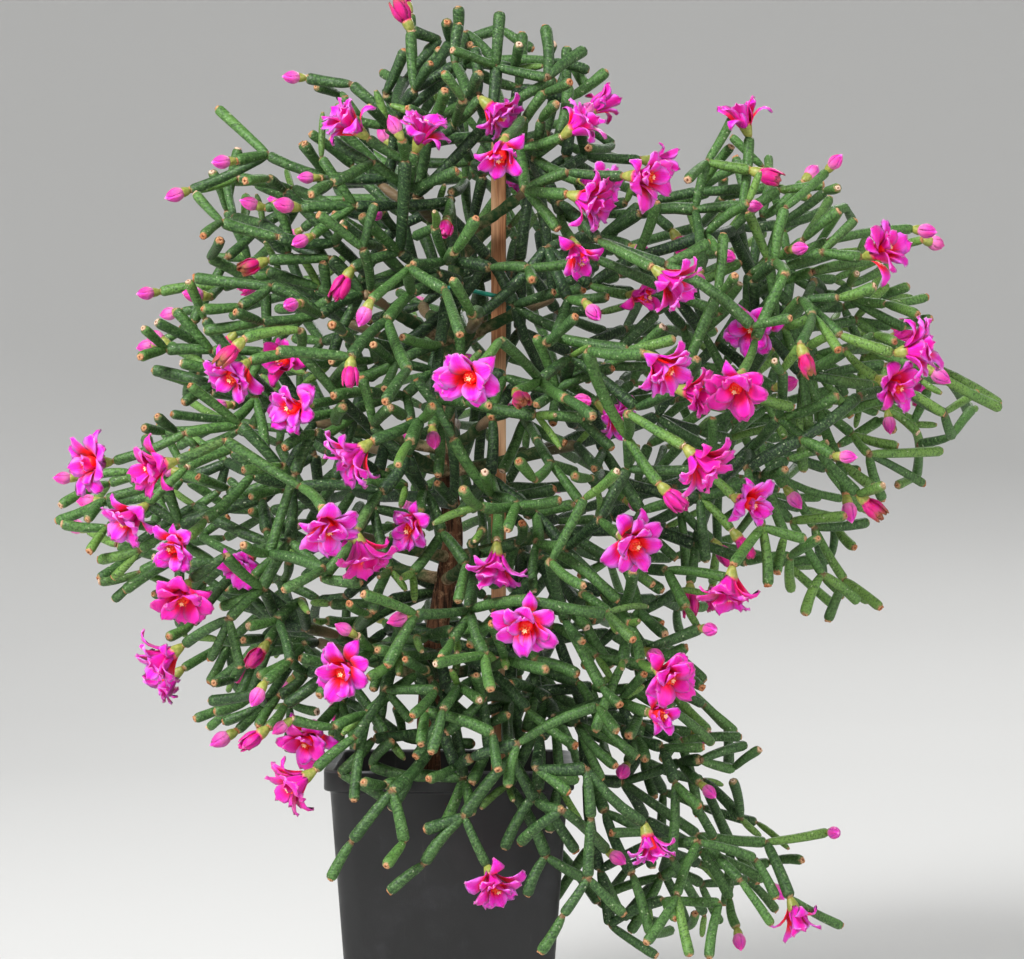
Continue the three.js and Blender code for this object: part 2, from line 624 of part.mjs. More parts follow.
// The tie is a belt round the trunk and the stake.
function tiePath() {
  const trunk = trunkAt(TIE_Z);
  const ends = [
    { x: trunk[0], y: trunk[1], r: TRUNK_TOP_RADIUS + TIE_SLACK + FIT + TIE_RADIUS },
    { x: STAKE_X, y: STAKE_Y, r: Math.hypot(STAKE_WIDTH, STAKE_THICKNESS) / 2 + FIT + TIE_RADIUS },
  ];
  const run = Math.atan2(ends[1].y - ends[0].y, ends[1].x - ends[0].x);
  const path = [];
  for (let i = 0; i < TIE_STEPS; i += 1) {
    const onStake = i < TIE_STEPS / 2;
    const end = ends[onStake ? 1 : 0];
    const part = (i % (TIE_STEPS / 2)) / (TIE_STEPS / 2 - 1);
    const angle = run + (onStake ? -0.5 + part : 0.5 + part) * Math.PI;
    const x = thousandth(end.x + Math.cos(angle) * end.r);
    const y = thousandth(end.y + Math.sin(angle) * end.r);
    path.push([x, y, TIE_Z + TIE_SLOPE * (y - STAKE_Y / 2)]);
  }
  return path;
}

// Joins a loose twig to the plant by a path of stems that leaves a joint already on a spray.
function attachTwig(root) {
  const goal = joints[root].at;
  const outOf = (p) => Math.sqrt(p[0] * p[0] + p[1] * p[1]);
  const candidates = [];
  const stemsOf = sprayCounts();
  joints.forEach((joint, id) => {
    if (joint.spray < 0 || joint.closed || joint.kids.length > MOST_KIDS) {
      return;
    }
    const way = sub(goal, joint.at);
    const length = size(way);
    const turn = joint.inward ? -dot(way, joint.inward) / length : 1;
    if (length < SHORTEST_LINK || turn < LEAST_TURN) {
      return;
    }
    let cost = length + joint.kids.length * COST.kid + (1 - turn) * COST.turn;
    cost += outOf(joint.at) > outOf(goal) - OUTWARD_ROOM ? COST.outward : 0;
    cost += length > LONG_LINK ? (length - LONG_LINK) * COST.length : 0;
    cost += stemsOf[joint.spray] * COST.crowding;
    candidates.push({ id, cost, length });
  });
  candidates.sort((p, q) => p.cost - q.cost || p.id - q.id);
  for (const candidate of candidates.slice(0, MOST_CANDIDATES)) {
    const path = clearPath(candidate.id, root, candidate.length);
    if (path) {
      growPath(candidate.id, root, path);
      return true;
    }
  }
  return false;
}

function sprayCounts() {
  const counts = new Array(60).fill(0);
  joints.forEach((joint) => {
    if (joint.spray >= 0) {
      counts[joint.spray] += 1;
    }
  });
  return counts;
}

// Inner points of a clear path between two joints, or null
function clearPath(from, to, length) {
  const start = joints[from].at;
  const goal = joints[to].at;
  let count = Math.max(1, Math.floor(length / STEM_LENGTH + 0.5));
  for (let attempt = 0; attempt < PATH_TRIES; attempt += 1) {
    if (attempt === STRAIGHT_TRIES && count === 1 && length > EASY_LINK) {
      count = 2;
    }
    const inner = [];
    for (let i = 1; i < count; i += 1) {
      const t = i / count;
      const sway = [spread(PATH_SWAY), spread(PATH_SWAY), spread(PATH_SWAY)];
      const lift = [0, 0, PATH_ARCH * length * t * (1 - t)];
      inner.push(add(add(mix(start, goal, t), sway), lift));
    }
    const points = [start, ...inner, goal];
    if (pathIsClear(points, from, to)) {
      return inner;
    }
    if (count === 1 && length <= EASY_LINK) {
      return null;
    }
  }
  return null;
}

function pathIsClear(points, from, to) {
  const last = points.length - 1;
  const leave = unit(sub(points[1], points[0]));
  const arrive = unit(sub(points[last], points[last - 1]));
  for (const kid of joints[from].kids) {
    if (dot(leave, unit(sub(joints[kid].at, joints[from].at))) > NARROWEST_FORK) {
      return false;
    }
  }
  for (const kid of joints[to].kids) {
    if (dot(arrive, unit(sub(joints[kid].at, joints[to].at))) < SHARPEST_BEND) {
      return false;
    }
  }
  for (let i = 0; i < last; i += 1) {
    if (last > 1 && distance(points[i], points[i + 1]) < SHORTEST_LINK) {
      return false;
    }
    const head = i === 0 ? from : -1;
    const tail = i === last - 1 ? to : -1;
    if (!isClear(points[i], points[i + 1], STEM_RADIUS, head, tail)) {
      return false;
    }
  }
  return true;
}

function growPath(from, to, inner) {
  let head = from;
  for (const at of inner) {
    joints.push({ at, spray: joints[from].spray, closed: false, kids: [], inward: null });
    addStem(head, joints.length - 1);
    head = joints.length - 1;
  }
  addStem(head, to);
  markSpray(to, joints[from].spray);
}

function markSpray(joint, spray) {
  joints[joint].spray = spray;
  joints[joint].kids.forEach((kid) => markSpray(kid, spray));
}

// Which share a front twig is tried at first: open blooms face out of the crown, the rest fills it evenly.
function frontShare(rows, i) {
  if (rows.some((row) => row[3] === "star")) {
    return i % 3;
  }
  if (rows.some((row) => row[3] === "bloom")) {
    return 1 + (i % 4);
  }
  return (i * 4) % SHARES.length;
}

// Grows the whole crown and returns the first joint of each spray.
function growCrown(laterals) {
  const heads = laterals.map(({ from, to }, spray) => {
    const out = unit(sub(to, from));
    const base = along(to, out, FIT);
    joints.push({ at: base, spray, closed: true, kids: [], inward: null });
    joints.push({ at: along(base, out, FIRST_STEM), spray, closed: false, kids: [], inward: null });
    addStem(joints.length - 2, joints.length - 1);
    return joints.length - 2;
  });
  const roots = [];
  TWIGS.forEach((rows, i) => {
    roots.push(placeTwig(rows, -1, frontShare(rows, i)));
  });
  TWIGS.forEach((rows, i) => {
    const shiftU = spread(BACK_SHIFT_U);
    const shiftV = spread(BACK_SHIFT_V);
    const kept = draw() < BACK_KEPT;
    const back = rows.map((row) => backRow(row));
    const cascade = rows[0][0] > CASCADE_LEFT_U && rows[0][1] > CASCADE_TOP_V;
    if (kept && rows[0][1] < BACK_LOWEST_V && !cascade) {
      roots.push(placeTwig(back, 1, (i * 3) % SHARES.length, shiftU, shiftV));
    }
  });
  const outOf = (id) => Math.sqrt(joints[id].at[0] * joints[id].at[0] + joints[id].at[1] * joints[id].at[1]);
  const order = roots.filter((id) => id >= 0).map((id) => ({ id, out: outOf(id) }));
  order.sort((p, q) => p.out - q.out || p.id - q.id);
  const left = order.filter(({ id }) => !attachTwig(id));
  left.forEach(({ id }) => attachTwig(id));
  return heads;
}

// The back has fewer open blooms, and none of them is a large one.
function backRow(row) {
  if (!row[3] || row.length < 6) {
    return row;
  }
  const chance = draw();
  const open = isOpen(row[3]);
  if (open && chance < BACK_BLOOMS) {
    return [row[0], row[1], row[2], "bloom", row[4], row[5]];
  }
  if (!open && chance < BACK_BUDS) {
    return row;
  }
  return [row[0], row[1], row[2]];
}

// Triangles between two rings of point numbers, which may differ in count
function bridge(a, b) {
  const faces = [];
  let [i, j] = [0, 0];
  while (i < a.length || j < b.length) {
    const [p, q] = [a[i % a.length], b[j % b.length]];
    if (b.length === 1 || (i < a.length && (i + 0.5) / a.length <= (j + 0.5) / b.length)) {
      if (i < a.length) {
        faces.push([p, a[(i + 1) % a.length], q]);
      }
      i += 1;
      j += b.length === 1 && i >= a.length ? 1 : 0;
    } else {
      faces.push([p, b[(j + 1) % b.length], q]);
      j += 1;
    }
  }
  return faces;
}

// Triangles that close a ring of point numbers. The first ring of a skin is closed backwards.
function lid(ids, backwards) {
  const faces = [];
  for (let i = 1; i < ids.length - 1; i += 1) {
    faces.push(backwards ? [ids[0], ids[i + 1], ids[i]] : [ids[0], ids[i], ids[i + 1]]);
  }
  return faces;
}

// A closed skin over rings of points
function skin(rings) {
  const body = { points: [], faces: [] };
  const first = putRing(body, rings[0]);
  body.faces.push(...lid(first, true));
  runRings(body, first, rings.slice(1));
  return body;
}

function putRing(body, ring) {
  const start = body.points.length;
  body.points.push(...ring);
  return ring.map((point, i) => start + i);
}

// Carries a skin on from a ring through further rings and closes it.
function runRings(body, start, rings) {
  let last = start;
  for (const ring of rings) {
    const next = putRing(body, ring);
    body.faces.push(...bridge(last, next));
    last = next;
  }
  body.faces.push(...lid(last, false));
}

function solidFrom({ points, faces }) {
  const vertProperties = new Float32Array(points.flat());
  const triVerts = new Uint32Array(faces.flat());
  return new wasm.Manifold(new wasm.Mesh({ numProp: 3, vertProperties, triVerts }));
}

function geometryOf(solid) {
  const mesh = solid.getMesh();
  const geometry = new THREE.BufferGeometry();
  const positions = new Float32Array(mesh.numVert * 3);
  for (let i = 0; i < mesh.numVert; i += 1) {
    positions.set(mesh.vertProperties.subarray(i * mesh.numProp, i * mesh.numProp + 3), i * 3);
  }
  geometry.setAttribute("position", new THREE.BufferAttribute(positions, 3));
  geometry.setIndex(new THREE.BufferAttribute(new Uint32Array(mesh.triVerts), 1));
  return mergeVertices(geometry);
}

const unionOf = (parts) => wasm.Manifold.union(parts.map(solidFrom)).simplify(0.01);

// A ring of points round an axis. Where inner is given, every second point lies at it.
function ringAt(at, e, f, count, outer, inner = outer, lift = 0, facing = [0, 0, 0]) {
  const ring = [];
  for (let i = 0; i < count; i += 1) {
    const turn = (2 * Math.PI * i) / count;
    const radius = i % 2 === 0 ? outer : inner;
    const rise = i % 2 === 0 ? 0 : lift;
    const side = add(scale(e, Math.cos(turn) * radius), scale(f, Math.sin(turn) * radius));
    ring.push(along(add(at, side), facing, rise));
  }
  return ring;
}

// A round stem along a path, with mitred bends. Radii are given at each point of the path.
function tubeRings(path, radii, sides, e, f) {
  const rings = [];
  let offsets = ringAt([0, 0, 0], e, f, sides, 1);
  for (let i = 0; i < path.length; i += 1) {
    const before = i > 0 ? unit(sub(path[i], path[i - 1])) : unit(sub(path[1], path[0]));
    const after = i < path.length - 1 ? unit(sub(path[i + 1], path[i])) : before;
    const normal = unit(add(before, after));
    offsets = offsets.map((o) => sub(o, scale(before, dot(o, normal) / dot(before, normal))));
    rings.push(offsets.map((o) => along(path[i], o, radii[i])));
  }
  return rings;
}

// Rings that end a stem in a flower: a bud, a closed flower or an open one
function flowerRings(kind, at, facing, e) {
  const f = cross(facing, e);
  const ring = ([s, r]) => {
    return r > 0 ? ringAt(along(at, facing, s), e, f, STEM_SIDES, r) : [along(at, facing, s)];
  };
  if (!isOpen(kind)) {
    return (kind === "bud" ? BUD_OUTLINE : SHUT_OUTLINE).map(ring);
  }
  const rim = (s, r) => ringAt(along(at, facing, s), e, f, 2 * PETALS, r, PETAL_ROOT, 0.6, facing);
  const low = 9.2;
  const middle = [along(at, facing, low + 4)];
  return [ring([5, 1.9]), rim(low, PETAL_REACH), rim(low + PETAL_THICKNESS, PETAL_REACH - 0.2), middle];
}

// The skin of one spray. A bend has one mitred ring. Where stems part, their rings lie on a ball round the
// joint, far enough out that they miss each other, and a convex knuckle joins them.
function spraySolid(head) {
  const body = { points: [], faces: [] };
  const kid = joints[head].kids[0];
  const way = unit(sub(joints[kid].at, joints[head].at));
  const [e, f] = acrossOf(way);
  const offsets = ringAt([0, 0, 0], e, f, STEM_SIDES, 1);
  const ring = putRing(body, offsets.map((o) => along(joints[head].at, o, FORK_RADIUS)));
  body.faces.push(...lid(ring, true));
  const open = [{ ring, way, offsets, to: kid }];
  while (open.length > 0) {
    open.push(...runStem(body, open.pop()));
  }
  return solidFrom(body);
}

// One stem of a spray up to its far joint. Returns the stems that leave there.
function runStem(body, { ring, way, offsets, to }) {
  const joint = joints[to];
  const arms = joint.kids.map((kid) => ({ to: kid, way: unit(sub(joints[kid].at, joint.at)) }));
  if (joint.flower && joint.flower !== "star") {
    arms.push({ flower: joint.flower, way: joint.facing });
  }
  if (arms.length === 0) {
    runRings(body, ring, [offsets.map((o) => along(joint.at, o, STEM_RADIUS))]);
    return [];
  }
  if (arms.length > 1) {
    return knuckle(body, { ring, way, offsets, joint, arms });
  }
  const [arm] = arms;
  const normal = unit(add(way, arm.way));
  const mitred = offsets.map((o) => sub(o, scale(way, dot(o, normal) / dot(way, normal))));
  const bend = putRing(body, mitred.map((o) => along(joint.at, o, STEM_RADIUS)));
  body.faces.push(...bridge(ring, bend));
  const turned = mitred.map((o) => unit(sub(o, scale(arm.way, dot(o, arm.way)))));
  return finishArm(body, { ...arm, ring: bend, offsets: turned, at: joint.at });
}

function finishArm(body, { flower, to, way, ring, offsets, at }) {
  if (!flower) {
    return [{ ring, way, offsets, to }];
  }
  runRings(body, ring, flowerRings(flower, at, way, offsets[0]));
  return [];
}

function knuckle(body, { ring, way, offsets, joint, arms }) {
  const ways = [scale(way, -1), ...arms.map((arm) => arm.way)];
  const lengths = arms.map((arm) => (arm.flower ? FLOWER_STALK : distance(joints[arm.to].at, joint.at)));
  const { reach, radius } = forkFit(ways, Math.min(joint.length, ...lengths));
  const arrive = putRing(body, offsets.map((o) => along(along(joint.at, way, -reach), o, radius)));
  body.faces.push(...bridge(ring, arrive));
  const groups = [arrive];
  const made = arms.map((arm) => {
    const [e, f] = acrossOf(arm.way);
    const own = ringAt([0, 0, 0], e, f, STEM_SIDES, 1);
    const leave = putRing(body, own.map((o) => along(along(joint.at, arm.way, reach), o, radius)));
    groups.push(leave);
    return { ...arm, ring: leave, offsets: own, at: joint.at };
  });
  body.faces.push(...hullFaces(body, groups));
  return made.flatMap((arm) => finishArm(body, arm));
}

// The faces of the convex hull of several rings, without the lids of the rings themselves
function hullFaces(body, groups) {
  const owner = new Map();
  const points = groups.flatMap((ids, group) => ids.map((id) => {
    const point = new THREE.Vector3(...body.points[id]);
    owner.set(point, { id, group });
    return point;
  }));
  const hull = new ConvexHull().setFromPoints(points);
  const faces = [];
  for (const face of hull.faces) {
    const corners = [];
    let edge = face.edge;
    do {
      corners.push(owner.get(edge.head().point));
      edge = edge.next;
    } while (edge !== face.edge);
    if (!corners.every((corner) => corner.group === corners[0].group)) {
      faces.push(corners.map((corner) => corner.id));
    }
  }
  return faces;
}

// A large open bloom: a swollen base, five petals bent back and five shorter ones inside them
function starSkin(joint) {
  const d = joint.facing;
  const [e, f] = acrossOf(d);
  const tip = joint.inward ? scale(joint.inward, -1) : d;
  const at = along(joint.at, tip, FIT + STEM_RADIUS * 0.75 * (1 - dot(tip, d)));
  const ring = (s, r) => ringAt(along(at, d, s), e, f, PETALS, r);
  const rim = (s, outer, inner, lift) => ringAt(along(at, d, s), e, f, 2 * PETALS, outer, inner, lift, d);
  return skin([
    ...STAR_BASE.map(([s, r]) => ring(s, r)),
    rim(9, PETAL_REACH, 5.4, 1),
    rim(9 + PETAL_THICKNESS, PETAL_REACH - 0.2, 5.4, 1),
    ring(12, 4.4),
    rim(16.5, 8.6, 4.8, -2),
    rim(16.5 + PETAL_THICKNESS, 8, 4, -2),
    [along(at, d, 12.6)],
  ]);
}

function plantTie() {
  const path = tiePath();
  const points = [];
  const faces = [];
  path.forEach((at, i) => {
    const way = unit(sub(path[(i + 1) % path.length], path[(i + path.length - 1) % path.length]));
    const side = unit(cross(way, [0, 0, 1]));
    points.push(...ringAt(at, side, cross(way, side), TIE_SIDES, TIE_RADIUS));
    for (let k = 0; k < TIE_SIDES; k += 1) {
      const [a, b] = [i * TIE_SIDES + k, i * TIE_SIDES + ((k + 1) % TIE_SIDES)];
      const [c, d] = [a, b].map((id) => (id + TIE_SIDES) % (path.length * TIE_SIDES));
      faces.push([a, b, d], [a, d, c]);
    }
  });
  return solidFrom({ points, faces });
}

// A ring in the shape of a square with rounded corners
function squareRing(half, corner, z, steps = 4) {
  const ring = [];
  for (let quarter = 0; quarter < 4; quarter += 1) {
    const [cx, cy] = [[1, 1], [-1, 1], [-1, -1], [1, -1]][quarter];
    for (let i = 0; i < steps; i += 1) {
      const turn = ((quarter + i / (steps - 1)) * Math.PI) / 2;
      const x = cx * (half - corner) + Math.cos(turn) * corner;
      const y = cy * (half - corner) + Math.sin(turn) * corner;
      ring.push([x, y, z]);
    }
  }
  return ring;
}

const potHalfAt = (z) => POT_BASE_HALF + ((POT_RIM_HALF - RIM_STEP - POT_BASE_HALF) * z) / POT_HEIGHT;

function plantPot() {
  const band = POT_HEIGHT - RIM_BAND;
  const shell = solidFrom(
    skin([
      squareRing(POT_BASE_HALF, POT_CORNER, 0),
      squareRing(potHalfAt(band), POT_CORNER, band),
      squareRing(POT_RIM_HALF, POT_CORNER + RIM_STEP, band + RIM_CHAMFER),
      squareRing(POT_RIM_HALF, POT_CORNER + RIM_STEP, POT_HEIGHT),
      squareRing(potHalfAt(POT_HEIGHT) - POT_WALL, POT_CORNER - POT_WALL, POT_HEIGHT),
      squareRing(potHalfAt(POT_FLOOR) - POT_WALL, POT_CORNER - POT_WALL, POT_FLOOR),
    ]),
  );
  const holes = [45, 135, 225, 315].map((turn) => {
    const angle = (turn * Math.PI) / 180;
    const geometry = new THREE.CylinderGeometry(DRAIN_RADIUS, DRAIN_RADIUS, POT_FLOOR * 4, DRAIN_SIDES);
    geometry.rotateX(Math.PI / 2);
    geometry.translate(Math.cos(angle) * DRAIN_REACH, Math.sin(angle) * DRAIN_REACH, 0);
    return solidOfGeometry(geometry);
  });
  return shell.subtract(wasm.Manifold.union(holes));
}

function solidOfGeometry(geometry) {
  const bare = geometry.clone();
  bare.deleteAttribute("normal");
  bare.deleteAttribute("uv");
  const merged = mergeVertices(bare, 1e-4);
  const vertProperties = new Float32Array(merged.attributes.position.array);
  const triVerts = new Uint32Array(merged.index.array);
  return new wasm.Manifold(new wasm.Mesh({ numProp: 3, vertProperties, triVerts }));
}

function boxSolid(width, depth, low, high, x, y) {
  const geometry = new THREE.BoxGeometry(width, depth, high - low);
  geometry.translate(x, y, (high + low) / 2);
  return solidOfGeometry(geometry);
}

// Soil fills the pot, with a plain hole for the trunk and one for the stake.
function pottingSoil() {
  const low = POT_FLOOR + FIT;
  const halfAt = (z) => potHalfAt(z) - POT_WALL - FIT;
  const body = solidFrom(
    skin([
      squareRing(halfAt(low), POT_CORNER - POT_WALL, low),
      squareRing(halfAt(SOIL_TOP), POT_CORNER - POT_WALL, SOIL_TOP),
    ]),
  );
  const stakeHole = boxSolid(
    STAKE_WIDTH + 2 * FIT, STAKE_THICKNESS + 2 * FIT, STAKE_FOOT - FIT, POT_HEIGHT, STAKE_X, STAKE_Y,
  );
  const foot = TRUNK_PATH[0];
  const hole = new THREE.CylinderGeometry(
    TRUNK_HOLE_RADIUS, TRUNK_HOLE_RADIUS, TRUNK_HOLE_LENGTH, HOLE_SIDES,
  );
  hole.rotateX(Math.PI / 2);
  hole.translate(foot[0] - FIT, foot[1], foot[2] - FIT + TRUNK_HOLE_LENGTH / 2);
  return body.subtract(stakeHole).subtract(solidOfGeometry(hole));
}

function plantStake() {
  const half = STAKE_WIDTH / 2;
  const deep = STAKE_THICKNESS / 2;
  const slice = (z, x, y) => [
    [STAKE_X + x, STAKE_Y + y, z],
    [STAKE_X - x, STAKE_Y + y, z],
    [STAKE_X - x, STAKE_Y - y, z],
    [STAKE_X + x, STAKE_Y - y, z],
  ];
  return solidFrom(
    skin([
      slice(STAKE_FOOT, half * STAKE_POINT_SHARE, deep),
      slice(STAKE_FOOT + STAKE_POINT, half, deep),
      slice(STAKE_TOP - STAKE_EDGE, half, deep),
      slice(STAKE_TOP, half - STAKE_EDGE, deep - STAKE_EDGE),
    ]),
  );
}

function woodyStems(laterals) {
  const radii = TRUNK_PATH.map((p, i) => {
    const t = i / (TRUNK_PATH.length - 1);
    return TRUNK_FOOT_RADIUS + (TRUNK_TOP_RADIUS - TRUNK_FOOT_RADIUS) * Math.min(1, t * TRUNK_TAPER);
  });
  const parts = [skin(tubeRings(TRUNK_PATH, radii, TRUNK_SIDES, [1, 0, 0], [0, 1, 0]))];
  for (const { from, to } of laterals) {
    const [e, f] = acrossOf(unit(sub(to, from)));
    const root = ringAt(from, e, f, LATERAL_SIDES, LATERAL_ROOT_RADIUS);
    parts.push(skin([root, ringAt(to, e, f, LATERAL_SIDES, LATERAL_TIP_RADIUS)]));
  }
  return unionOf(parts);
}

const plant = new THREE.Group();

function addPiece(name, solid, finish) {
  const mesh = new THREE.Mesh(geometryOf(solid), new THREE.MeshStandardMaterial(COLOURS[finish]));
  mesh.name = name;
  plant.add(mesh);
}

// What stands before the crown grows
const laterals = lateralList();
TRUNK_PATH.slice(1).forEach((p, i) => addSolid(TRUNK_PATH[i], p, TRUNK_FOOT_RADIUS));
laterals.forEach(({ from, to }) => addSolid(from, to, LATERAL_RADIUS));
addSolid([STAKE_X, STAKE_Y, STAKE_FOOT], [STAKE_X, STAKE_Y, STAKE_TOP], (STAKE_WIDTH + FIT) / 2);
tiePath().forEach((p, i, path) => addSolid(p, path[(i + 1) % path.length], TIE_RADIUS));

const heads = growCrown(laterals).filter((head) => joints[joints[head].kids[0]].kids.length > 0);
const usedLaterals = laterals.filter((lateral, i) => heads.some((head) => joints[head].spray === i));

addPiece("plant_pot", plantPot(), "pot");
addPiece("potting_soil", pottingSoil(), "soil");
addPiece("plant_stake", plantStake(), "stake");
addPiece("plant_tie", plantTie(), "tie");
addPiece("woody_stems", woodyStems(usedLaterals), "bark");
heads.forEach((head, i) => {
  const name = `stem_spray_${String(i + 1).padStart(2, "0")}`;
  addPiece(name, spraySolid(head), "stem");
});
joints
  .filter((joint) => joint.flower === "star" && joint.spray >= 0)
  .forEach((joint, i) => {
    addPiece(`bloom_${String(i + 1).padStart(2, "0")}`, solidFrom(starSkin(joint)), "petal");
  });

export default plant;
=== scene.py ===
# A potted hatiora herminiae, dressed for close views: jointed green stems, magenta blooms and buds, a woody
# trunk tied to a stake, and bark soil in a near-black nursery pot. Lengths are in millimetres. The crown is
# grown by the same seeded rule as its solid model, then filled with more shoots.

import json
import math

import bmesh
import bpy
import numpy as np
from mathutils import Euler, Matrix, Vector, noise

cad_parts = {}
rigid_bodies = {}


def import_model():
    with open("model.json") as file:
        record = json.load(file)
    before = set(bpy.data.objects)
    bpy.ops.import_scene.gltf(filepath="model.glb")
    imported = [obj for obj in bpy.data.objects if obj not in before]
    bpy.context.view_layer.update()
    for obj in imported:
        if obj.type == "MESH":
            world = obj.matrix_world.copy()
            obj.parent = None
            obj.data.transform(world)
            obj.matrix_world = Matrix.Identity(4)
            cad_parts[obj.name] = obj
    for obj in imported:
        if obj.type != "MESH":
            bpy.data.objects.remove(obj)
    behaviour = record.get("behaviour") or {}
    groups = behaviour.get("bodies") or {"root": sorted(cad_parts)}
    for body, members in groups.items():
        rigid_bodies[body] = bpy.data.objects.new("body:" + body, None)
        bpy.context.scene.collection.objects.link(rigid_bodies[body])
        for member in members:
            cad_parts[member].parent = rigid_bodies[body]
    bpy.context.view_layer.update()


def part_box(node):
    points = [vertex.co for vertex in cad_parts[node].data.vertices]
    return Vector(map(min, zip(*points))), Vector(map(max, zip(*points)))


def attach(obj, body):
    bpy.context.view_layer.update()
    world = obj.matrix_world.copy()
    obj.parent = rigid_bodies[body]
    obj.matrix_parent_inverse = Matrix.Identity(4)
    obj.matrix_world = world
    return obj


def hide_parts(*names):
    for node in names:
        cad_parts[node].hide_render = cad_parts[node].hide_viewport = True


bl_info = {
    "name": "Potted Hatiora Herminiae",
    "version": (1, 0, 0),
    "blender": (4, 5, 0),
    "location": "3D View > Sidebar > Hatiora",
    "description": "Grows and finishes a potted hatiora herminiae round its solid frame",
    "category": "Object",
}

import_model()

MM = 0.001

# Pot, soil, stake and tie
POT_HEIGHT = 124
POT_RIM_HALF = 48.5
POT_BASE_HALF = 37.5
POT_WALL = 2
POT_FLOOR = 3
POT_CORNER = 9
RIM_BAND = 8.5
RIM_STEP = 1.8
DRAIN_RADIUS = 4
DRAIN_REACH = 20
DRAIN_CUT = (-5, 8)
SOIL_TOP = 113
FIT = 0.3
STAKE_X = 19
STAKE_Y = 5
STAKE_WIDTH = 6
STAKE_THICKNESS = 3
STAKE_FOOT = 34
STAKE_TOP = 376
STAKE_POINT = 14
TIE_Z = 308
TIE_RADIUS = 0.65
TIE_SLOPE = -0.7
TIE_SLACK = 0.35
TIE_STEPS = 20
# The wire with its plastic is thicker than its solid, and its ends are twisted behind the stake.
WIRE_RADIUS = TIE_RADIUS * 1.45
TWIST_LENGTH = 7.5
TWIST_TURNS = 2.1
TWIST_STEPS = 24

# Trunk and its woody laterals
TRUNK_PATH = [
    (-8, 0, 86),
    (-9, 0, 139),
    (-6, 0, 175),
    (0.8, 0, 211),
    (-1.2, 0, 234),
    (-2, 0, 268),
    (0.5, 0, 298),
    (2, 0, 320),
    (3, 0, 334),
]
TRUNK_FOOT_RADIUS = 5
TRUNK_TOP_RADIUS = 3.1
TRUNK_TAPER = 1.3
LATERAL_RADIUS = 2.8
LATERAL_STAGGER = 9
LATERAL_DROP = 4
LATERAL_TRIM = 3
# Each level: height, count, first turn in degrees, reach, rise
LATERAL_LEVELS = [
    (328, 4, 62, 26, 14),
    (286, 6, 46, 34, 12),
    (243, 7, 36, 38, 8),
    (200, 6, 44, 40, 8),
    (160, 6, 34, 44, 10),
]

# Green stems and flowers
STEM_RADIUS = 2.3
STEM_LENGTH = 29
SHORTEST_STEM = 16
FIRST_STEM = 15
CLEARANCE = 0.9
PETAL_REACH = 12.4
FLOWER_REACH = {"bud": 7, "bloom": 12, "star": 12, "shut": 9}
# The room that each kind takes up along its axis: start, end, radius
FLOWER_ROOM = {
    "bud": [(1, 9, 3.4)],
    "shut": [(1, 15, 3.4)],
    "bloom": [(0.5, 8, 2.7), (10, 13, 6.4)],
    "star": [(0.5, 8, 2.7), (10, 13, 6.4)],
}
PETAL_ROOM = (8, 10, 0.9)
FIFTHS = [(1, 0), (0.309, 0.951), (-0.809, 0.588), (-0.809, -0.588), (0.309, -0.951)]

# The photographed side is laid out on a plane through the stake, seen from straight in front of it.
PIXEL_MM = 0.4
IMAGE_WIDTH = 1024
VIEW_DISTANCE = 1200
VIEW_MIDDLE_U = 512
VIEW_MIDDLE_V = 479.5
VIEW_X = 24.4
VIEW_Z = 236.2

# The crown's outline in the photograph: height v, left edge u, right edge u, and half depth in millimetres
CROWN = [
    (-20, 390, 600, 28),
    (60, 290, 640, 55),
    (110, 205, 785, 88),
    (180, 150, 860, 112),
    (260, 130, 945, 128),
    (400, 45, 1010, 138),
    (520, 40, 935, 134),
    (620, 100, 880, 124),
    (720, 190, 780, 108),
    (800, 240, 740, 88),
    (880, 320, 850, 78),
    (980, 380, 870, 74),
]

